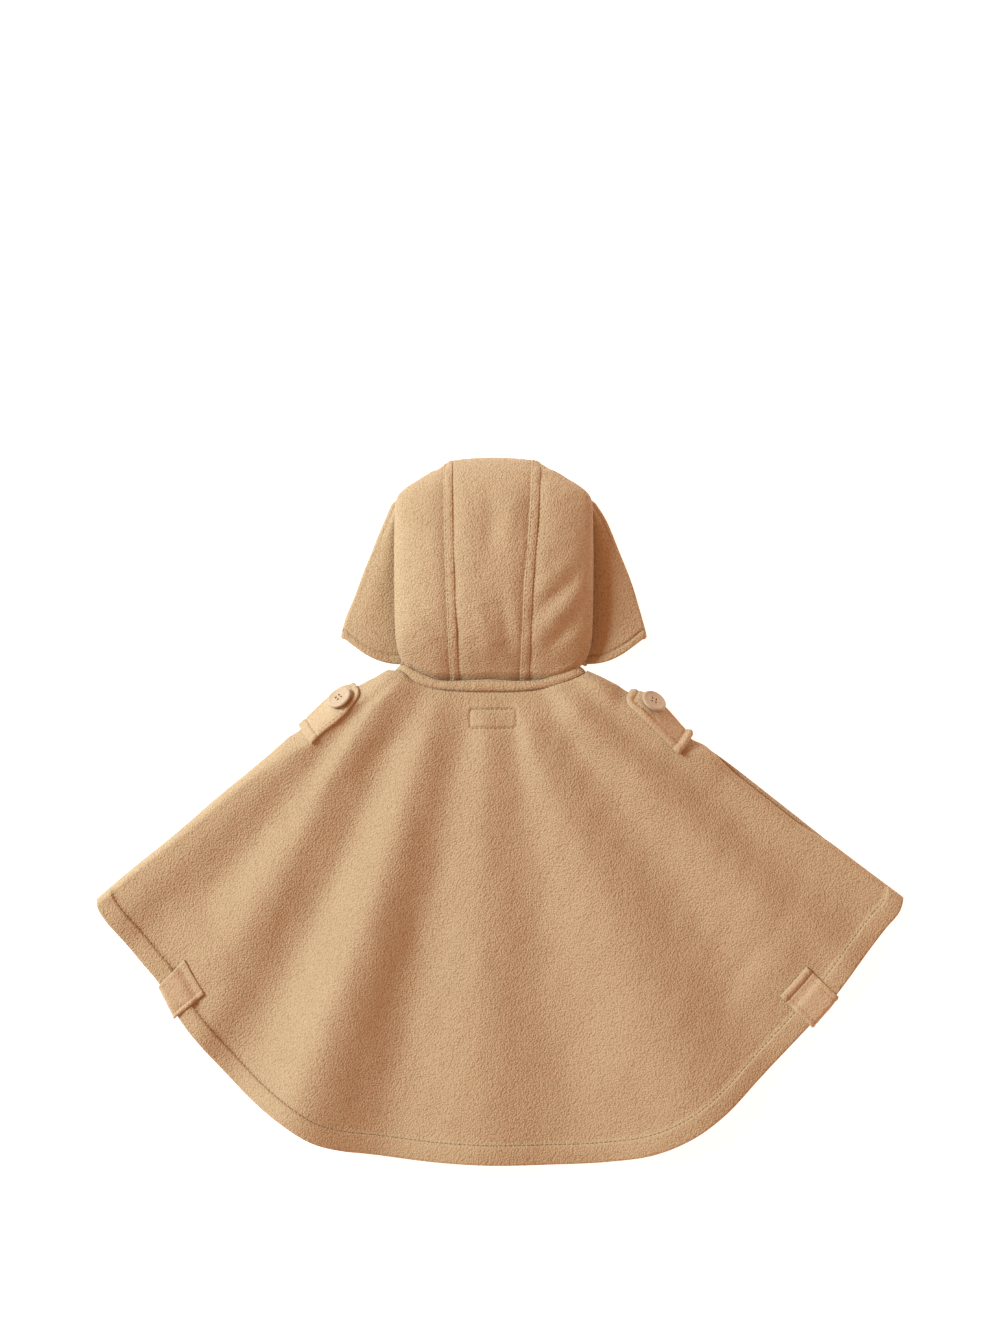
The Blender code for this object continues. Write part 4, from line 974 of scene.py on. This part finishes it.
def makeHoodSide(side):
    outer = hoodSideGrid(side)
    inner = outer - outward(outer, np.s_[50, 30]) * garment["cloth"]
    outer, inner = roundRim(outer, inner, lengthFromStart(outer))
    name = "hood" + sideName(side).capitalize()
    panel = settle(clothShell(name, outer, inner, fleece), "fleece", "hood_" + sideName(side))
    # stitches along the rim's hem, on the flare that shows
    steps, line = hood["steps"], []
    for column in np.linspace(steps["arch"] + 1.2, steps["arch"] + steps["tuck"] + steps["flare"] + 1.0, 90):
        drop = np.array(sideBottom(column, math.pi / 2) - hood["rimStitch"])
        across, up = sectionPoint(side, column, drop, np.array(math.pi / 2))
        line.append(hoodPlace(side, across, drop, up - hood["rimDepth"] + 0.2))
    sewn(panel, name + "Stitching", [(np.array(line), np.tile([0.0, 0.0, 1.0], (90, 1)))], "fleece",
         flat=hood["flatSide"], held="laid", rests_on=["backPanel", "studioFloor"], area=0.027)


def crownRuns():
    # drops of the rows down the nape, round the crown and along the underside
    nape = float(napeEdge(30.0))
    shares = np.concatenate([np.linspace(0, 0.075, 17)[:-1], np.linspace(0.075, 1, 90)])
    top = nape + (hood["crownEnd"] - nape) * shares
    turn = np.array([4.2, 3.4, 2.6, 1.9, 1.3, 0.8, 0.4, 0.15])
    under = hood["crownEnd"] + (hood["forehead"] - hood["crownEnd"]) * np.linspace(0, 1, 60)
    drops = np.concatenate([top, turn, [0.0], turn[::-1], under])
    onTop = np.arange(len(drops)) <= len(top) + len(turn)
    return drops, onTop


def makeHoodStrip():
    drops, onTop = crownRuns()
    left, right = (side * seamPlace(side, drops, -1) for side in (-1, 1))
    across = left[:, None] + (right - left)[:, None] * np.linspace(0, 1, 58)
    drop = np.repeat(drops[:, None], 58, axis=1)
    outer = hoodPlace(1, across, drop, np.where(onTop[:, None], archSurface(across, drop), underRise(drop)))
    inner = outer - outward(outer, np.s_[50, 30]) * garment["cloth"]
    outer, inner = roundRim(outer, inner, lengthFromStart(outer[::-1])[::-1])
    strip = settle(clothShell("hoodCentre", outer, inner, fleece), "fleece", "hood_centre")

    # the felled tape over each seam, from the nape over the crown to the forehead
    tapes, runs = [], []
    wide = np.linspace(-1, 1, 19)
    fall = np.repeat(drops[:, None], len(wide), axis=1)
    tucked = np.where(onTop[:, None], 0.2 + 0.8 * ramp(fall, 0, 20), np.where(fall < 8, 0.2, 0.1))
    for side in (-1, 1):
        at = side * seamPlace(side, drops)[:, None] + wide * hood["tapeWidth"] / 2
        skin = hoodPlace(1, at, fall, np.where(onTop[:, None], archPlain(at, fall), underRise(fall)))
        lean = outward(skin, np.s_[50, 9])
        puff = hood["tapeRise"] * (1 - wide**2) ** 0.7 - 0.3
        uneven = 0.4 * ripple(fall, at * 0.4 + 90 * side, 8, 41) * (1 - np.abs(wide))
        top = skin + lean * ((puff + uneven) * tucked)[..., None]
        bottom = skin - lean * hood["tapeUnder"]
        name = "hoodTape" + sideName(side).capitalize()
        tapes.append(settle(clothShell(name, top[:-2], bottom[:-2], fleece), "fleece"))
        for k in (2, 16):
            runs.append((top[:116, k] + lean[:116, k] * 0.05, lean[:116, k]))
    sewn(strip, "hoodStitching", runs, "fleece", others=tapes,
         flat=hood["flatStrip"], held="laid", rests_on=["studioFloor"], area=0.028)


# neck band

neckBand = {
    "width": 8.4,
    "top": 18.6,
    "ends": (-50.6, 53.4),
    "form": columnsOf("angle inner", [
        (-56, 87.4), (-50.2, 86.6), (-41.2, 82.6), (-31.8, 79.2), (-15, 70.8), (3.6, 67.6), (20, 73),
        (36.8, 83.6), (43, 87.4), (52.6, 94.4), (60, 97),
    ]),
    "steps": 300,
    "across": (0.0, 0.03, 0.07, 0.12, 0.17, 0.22, 0.3, 0.4, 0.5, 0.6, 0.7, 0.78, 0.83, 0.88, 0.93, 0.97, 1.0),
    "puff": 1.3,
    "groove": 0.15,
    "unevenness": 0.22,
    "flat": (0.30, 0.0105),
}


def makeNeckBand():
    steps, cloth = neckBand["steps"], garment["cloth"]
    first, last = neckBand["ends"]
    low, high = cloth / 2, neckBand["top"] - cloth / 2
    turn = math.tau * (np.arange(steps) + 0.5) / steps
    cosine, sine = np.cos(turn), np.sin(turn)
    angle = (first + last) / 2 + (last - first) / 2 * np.sign(cosine) * np.abs(cosine) ** 0.8
    rise = (low + high) / 2 + (high - low) / 2 * np.sign(sine) * np.abs(sine) ** 0.55
    # even steps round the ring, with a reach of about 90
    ring = np.stack([np.radians(angle) * 90, rise], axis=1)
    travelled = lengthFromStart(np.concatenate([ring, ring[:1]]))
    even = np.linspace(0, travelled[-1], steps, endpoint=False)
    angle, rise = (np.interp(even, travelled, np.append(v, v[0])) for v in (angle, rise))
    share = ramp(rise, low + 0.5, high - 3.0)
    frontOuter = along(neckLine, "front", angle) - garment["seamGap"] - 0.3
    frontInner = frontOuter - neckBand["width"]
    outerReach = frontOuter + (along(neckLine, "back", angle) - 0.05 - frontOuter) * share
    innerReach = frontInner + (along(neckBand["form"], "inner", angle) - frontInner) * share
    ahead = np.radians(np.roll(angle, -1) - np.roll(angle, 1)) * outerReach
    climb = np.roll(rise, -1) - np.roll(rise, 1)
    outTurn, outUp = climb / np.hypot(ahead, climb), -ahead / np.hypot(ahead, climb)
    across = np.array(neckBand["across"])
    reach = innerReach[:, None] + (outerReach - innerReach)[:, None] * across
    edge = np.minimum(across, 1 - across)
    rolled = 1 - closeEdge(edge, 0.12)
    dome = neckBand["puff"] * (1 - np.abs(2 * across - 1) ** 2.4) - neckBand["groove"] * dent(edge - 0.15, 0.05)
    wavy = ripple(even[:, None], across * 6, 11, 51) * (1 - np.abs(2 * across - 1) ** 2)
    grids = []
    for way, extra in ((1, dome + neckBand["unevenness"] * wavy), (-1, 0.0)):
        move = way * (cloth / 2 * (0.45 + 0.55 * rolled) + extra * np.where(rise > 6, 1.0, 0.25)[:, None])
        x, y = fromPolar(angle[:, None] + np.degrees(outTurn[:, None] * move / reach), reach)
        grids.append(np.stack([x, y, np.maximum(rise[:, None] + outUp[:, None] * move, 0.0)], axis=-1))
    band = settle(clothShell("neckBand", *grids, fleece, ring=True), "trim", "neck_band")
    upper = np.where(rise > 7)[0]
    upper = upper[np.argsort(angle[upper])]
    runs = []
    for column in (3, len(across) - 4):
        lean = gridNormals(grids[0])[upper, column]
        lean = lean * np.sign(np.median(lean[:, 2]))
        runs.append((grids[0][upper, column] + lean * 0.05, lean))
    sewn(band, "neckStitching", runs, "trim",
         flat=neckBand["flat"], held="laid", rests_on=["backPanel", "frontLeft", "frontRight"])


# tabs

tabs = {
    "cloth": 1.9,
    "hemCloth": 1.6,
    "gap": 0.45,
    "under": 13.0,  # how far a shoulder tab goes under the fronts
    "rollIn": 2.2,
    "grooveIn": 4.6,
    "unevenness": 0.15,
    "shoulderRows": 76,
    "hemRows": 44,
    "points": 116,
    "flatAcross": 0.052,
    "flatAlong": 0.076,
}


def pathNormals(path):
    ahead = np.gradient(path, axis=0)
    normals = np.stack([ahead[:, 1], -ahead[:, 0]], axis=1)
    return normals / np.linalg.norm(normals, axis=1, keepdims=True)


def skinsOf(path, thick, edge):
    # a strap's inner and outer skin, from its path of (distance inside the outline, height)
    for out in (tabs["gap"] + 0.25 * dent(edge, 0.8), tabs["gap"] + thick):
        moved = path + pathNormals(path) * out[:, None]
        moved[:, 1] = np.maximum(moved[:, 1], 0.0)
        yield moved


def finishTab(name, node, outer, inner, runs, flat):
    strap = settle(clothShell(name, outer, inner, pressedFleece), "trim", node)
    sewn(strap, name + "Stitching", runs, "trim", flat=flat, held="folded", rests_on=["backPanel"])


def strapPath(tops, underReach):
    # down over the edge and back under the fronts
    lift = garment["strapLift"]
    under = [(underReach * share, lift - 0.3) for share in (0.35, 0.7, 1.0)]
    return [*tops, (-1.2, lift + 2.6), (-1.1, lift + 0.3), (0.2, lift - 0.3), *under]


def smoothed(values, times):
    # evens out a path's small steps, its ends held
    values = np.array(values, float)
    for _ in range(times):
        values[1:-1] = values[1:-1] * 0.5 + (values[:-2] + values[2:]) * 0.25
    return values


def roundEdge(edge):
    # cloth's thickness beside a free edge, 1 further in
    return 1 - 0.58 * closeEdge(edge, 1.6)


def shoulderTops(tab, reach, widthShare):
    # heights of the cloth under a shoulder tab, from its inner edge to the outline
    insides, heights = np.linspace(tab["shown"] * widthShare, 0, 34), []
    for near in (reach - 5.0, reach, reach + 5.0):
        angle = shoulderAngle(tab["side"], near) - tab["side"] * np.degrees(insides / near)
        heights.append(backHeight(angle, near))
    return list(zip(insides, np.max(heights, axis=0)))


def makeShoulderTab(which, tab):
    rows, points, side = tabs["shoulderRows"], tabs["points"], tab["side"]
    inner, outer = np.zeros((2, rows, points, 3))
    length, band = tab["end"] - tab["tip"], tab["endBand"]
    fromTips = length * np.linspace(0, 1, rows) ** 1.25
    for row, fromTip in enumerate(fromTips):
        reach, toEnd = tab["tip"] + fromTip, length - fromTip
        tip = min(fromTip / (tab["shown"] * 1.45), 1.0)
        width = 1 - 0.10 * float(ramp(reach, tab["tip"] + 24, tab["end"] - 6))
        width = width * (0.12 + 0.88 * math.sqrt(1 - (1 - tip) ** 2))
        path, gone = resample(strapPath(shoulderTops(tab, reach, width), tabs["under"] * width), points)
        path = smoothed(path, 3)
        edge = np.minimum(np.minimum(gone, fromTip * 0.9 + 0.2), toEnd)
        inBand = 1 - ramp(toEnd, band - 1.0, band + 0.4)
        arch = 1 - 0.5 * (2 * toEnd / band - 1) ** 2 * (toEnd < band)
        thick = tabs["cloth"] * roundEdge(edge) + tab["bandRise"] * inBand * arch
        thick = thick + tab["edgeRoll"] * dent(edge - tab["rollIn"], tab["rollIn"] * 0.75)
        thick = thick - tab["groove"] * dent(edge - tab["grooveIn"], 1.0) - 0.8 * dent(toEnd - band - 0.6, 0.7)
        outline = float(shoulderAngle(side, reach))
        x, y = fromPolar(outline, reach)
        thick = thick + tabs["unevenness"] * ripple(gone + x, gone * 0.3 + y, 12, 61)
        for grid, moved in zip((inner, outer), skinsOf(path, thick, edge)):
            x, y = fromPolar(outline - side * np.degrees(moved[:, 0] / reach), reach)
            grid[row] = np.stack([x, y, moved[:, 1]], axis=1)
    # stitches round the tip, along the edge and across the end band
    lean = outward(outer, np.s_[:, :30])
    inside = np.argmax(lengthFromStart(outer, axis=1) > tab["grooveIn"], axis=1)
    visible = points * 3 // 5
    first, last = int(np.argmax(fromTips > 5.2)), int(np.argmax(fromTips > length - band - 0.6))
    places = [(first, column) for column in range(visible, inside[first], -1)]
    places += [(row, inside[row]) for row in range(first, last)]
    place = tuple(np.array(places).T)
    runs = [(outer[place], lean[place]), (outer[last, 2:visible], lean[last, 2:visible])]
    flat = (tabs["flatAcross"], length / 1000)
    finishTab("shoulderTab" + which.capitalize(), "shoulder_tab_" + which, outer, inner, runs, flat)


def coverHeight(angle, reach, sideways, lengthwise):
    heights = [backHeight(angle + turn, reach + move)
               for turn in (-sideways, 0.0, sideways) for move in (-lengthwise, 0.0, lengthwise)]
    return np.max(heights, axis=0)


def makeHemTab(which, tab):
    rows, points = tabs["hemRows"], tabs["points"]
    inner, outer = np.zeros((2, rows, points, 3))
    width = (tab["end"] - tab["start"]) * math.pi / 180 * 430
    for row, share in enumerate(np.linspace(0, 1, rows)):
        share = share - 0.06 * math.sin(share * math.tau)  # closer rows beside the edges
        angle = tab["start"] + (tab["end"] - tab["start"]) * share
        hem = float(along(hemLine, "reach", angle))
        insides = np.linspace(tab["over"], 0.6, 30)
        tops = smoothed(coverHeight(np.full(len(insides), angle), hem - insides, 0.3, 1.0), 2)
        path, gone = resample(strapPath([*zip(insides, tops), (0.0, tops[-1] - 1.0)], tab["under"]), points)
        path = smoothed(path, 4)
        sides = np.array([share, 1 - share]) * width
        edge = np.minimum(gone, sides.min())
        thick = tabs["hemCloth"] * roundEdge(edge)
        for away, rise in zip(sides, (tab["startRoll"], tab["endRoll"])):
            thick = thick + rise * (dent(away - tabs["rollIn"], 1.6) - 0.6 * dent(away - tabs["grooveIn"], 0.8))
        thick = thick + tab["innerRoll"] * dent(gone - tab["seamIn"] / 2, tab["seamIn"] * 0.34)
        thick = thick - tab["seamDepth"] * dent(gone - tab["seamIn"], 0.65)
        thick = thick + tabs["unevenness"] * ripple(gone + angle * 7, angle * 7.0, 12, 71)
        atHem, within = (turn[0] + (turn[1] - turn[0]) * share for turn in (tab["hemTurn"], tab["innerTurn"]))
        for grid, moved in zip((inner, outer), skinsOf(path, thick, edge)):
            inward = np.clip(moved[:, 0] / tab["over"], 0, 1)
            x, y = fromPolar(angle + atHem + (within - atHem) * inward, hem - moved[:, 0])
            grid[row] = np.stack([x, y, moved[:, 1]], axis=1)
    # stitches across the inner end, and along an edge where it is rolled
    lean = outward(outer, np.s_[:, :30])
    across = np.arange(3, rows - 3)
    columns = np.argmax(lengthFromStart(outer, axis=1)[across] > tab["seamIn"], axis=1)
    runs = [(outer[across, columns], lean[across, columns])]
    for row, rise in ((9, tab["startRoll"]), (rows - 10, tab["endRoll"])):
        if rise > 0.3:
            runs.append((outer[row, 2:points * 3 // 5], lean[row, 2:points * 3 // 5]))
    flat = (width / 1000, tabs["flatAlong"])
    finishTab("hemTab" + which.capitalize(), "hem_tab_" + which, outer, inner, runs, flat)


# buttons

buttonShape = {
    "turns": 72,
    "profile": (
        (0, 0), (9.2, 0), (9.9, 0.15), (10.5, 0.5), (10.85, 1.0), (11.0, 1.5), (10.95, 2.0), (10.7, 2.5),
        (10.3, 2.82), (9.8, 3.0), (9.3, 3.04), (8.8, 3.0), (8.3, 2.9), (7.9, 2.78), (7.4, 2.68), (6.6, 2.6),
        (5.0, 2.55), (2.6, 2.52), (0, 2.5),
    ),
    "hole": 0.95,
    "holeAt": 2.5,
    "holeSides": 20,
}


def makeButton(which):
    spots = np.array([v.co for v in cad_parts["button_" + which].data.vertices], float)
    centre = (spots.min(0) + spots.max(0)) / 2
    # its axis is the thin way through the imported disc
    ways = np.linalg.svd(spots - spots.mean(0), full_matrices=False)[2]
    axis = ways[2] * np.sign(ways[2, 2])
    depth = (spots - centre) @ axis
    flat = spots - centre - np.outer(depth, axis)
    up = Vector(axis)
    cross = up.cross(Vector(ways[0])).normalized()
    matrix = Matrix((cross.cross(up).normalized(), cross, up)).transposed().to_4x4()
    matrix.translation = Vector(centre + (flat.max(0) + flat.min(0)) / 2 + axis * depth.min())
    mesh = bpy.data.meshes.new("button" + which.capitalize())
    points = [(radius * 0.001, 0.0, rise * 0.001) for radius, rise in buttonShape["profile"]]
    mesh.from_pydata(points, [(k, k + 1) for k in range(len(points) - 1)], [])
    mesh.materials.append(resin)
    disc = addObject(mesh.name, mesh)
    disc.matrix_world = matrix
    turned = disc.modifiers.new("turned", "SCREW")
    turned.steps = turned.render_steps = buttonShape["turns"]
    turned.merge_threshold = 0.00001
    turned.use_merge_vertices = turned.use_normal_calculate = turned.use_smooth_shade = True
    cutters, reach = [], buttonShape["holeAt"] * 0.001
    for k in range(4):
        turn = math.pi / 4 + k * math.pi / 2
        bpy.ops.mesh.primitive_cylinder_add(
            vertices=buttonShape["holeSides"], radius=buttonShape["hole"] * 0.001, depth=0.02)
        cutter = bpy.context.object
        cutter.matrix_world = matrix @ Matrix.Translation((reach * math.cos(turn), reach * math.sin(turn), 0))
        drilled = disc.modifiers.new("hole", "BOOLEAN")
        drilled.solver, drilled.object = "EXACT", cutter
        cutters.append(cutter)
    bpy.context.view_layer.update()
    solid = bpy.data.meshes.new_from_object(disc.evaluated_get(bpy.context.evaluated_depsgraph_get()))
    disc.modifiers.clear()
    disc.data = solid
    for cutter in cutters:
        bpy.data.objects.remove(cutter)
    settle(disc, "button", "button_" + which)
    print("button", which, len(disc.data.polygons), "faces")


# floor, light and camera

studio = {
    "floor": 16.0,
    "floorTone": (0.90, 0.90, 0.90),
    "floorGlow": 0.8,
    "cameraUp": 4.0,
    "frameHigh": 1.1339,
    "frameMiddle": 0.12198,
    "sensor": 36.0,
    "keySoftbox": {"place": (-3.3, 1.6, 2.5), "size": 1.7, "energy": 276.0, "color": (0.735, 0.915, 1.0)},
    "fillSoftbox": {"place": (1.2, -1.0, 3.0), "size": 2.2, "energy": 10.0, "color": (1.0, 1.0, 1.0)},
    "skyTint": (1.0, 0.42, 0.20),
    "skyStrength": 0.60,
}


def areaLight(name):
    # a round softbox that looks at the garment's middle
    spec = studio[name]
    data = bpy.data.lights.new(name, "AREA")
    data.shape, data.size, data.energy, data.color = "DISK", spec["size"], spec["energy"], spec["color"]
    lamp = addObject(name, data)
    lamp.location = spec["place"]
    lamp.rotation_euler = (-Vector(spec["place"])).to_track_quat("-Z", "Y").to_euler()


def makeStudio():
    half, tone = studio["floor"] / 2, studio["floorTone"]
    mesh = bpy.data.meshes.new("studioFloor")
    corners = [(-half, -half, 0), (half, -half, 0), (half, half, 0), (-half, half, 0)]
    mesh.from_pydata(corners, [], [(0, 1, 2, 3)])
    paper = plainMaterial("studioPaper", tuple(c * 0.985 for c in tone), tone, 3.0, 0.9, 0.00002)
    glow = {"Emission Color": (1.0, 1.0, 1.0, 1), "Emission Strength": studio["floorGlow"]}
    setInputs(paper.node_tree.nodes["Principled BSDF"], glow)
    mesh.materials.append(paper)
    floor = addObject("studioFloor", mesh)
    floor.location.z = -0.0004
    areaLight("keySoftbox")
    areaLight("fillSoftbox")
    world = bpy.data.worlds.new("studioAir")
    bpy.context.scene.world = world
    world.use_nodes = True
    air = world.node_tree.nodes["Background"]
    setInputs(air, {"Color": (*studio["skyTint"], 1), "Strength": studio["skyStrength"]})
    data = bpy.data.cameras.new("camera")
    data.sensor_width = studio["sensor"]
    data.lens = studio["sensor"] * studio["cameraUp"] / studio["frameHigh"]
    camera = addObject("camera", data)
    camera.location = (0.0, studio["frameMiddle"], studio["cameraUp"])
    bpy.context.scene.camera = camera
    bpy.context.scene.view_settings.view_transform = "Standard"
    print("studio ready")


makeBack()
for side in (-1, 1):
    makeFront(side)
    makeHoodSide(side)
makeHoodStrip()
makeNeckBand()
for which, tab in shoulderTabs.items():
    makeShoulderTab(which, tab)
for which, tab in hemTabs.items():
    makeHemTab(which, tab)
for which in ("left", "right"):
    makeButton(which)
makeStudio()
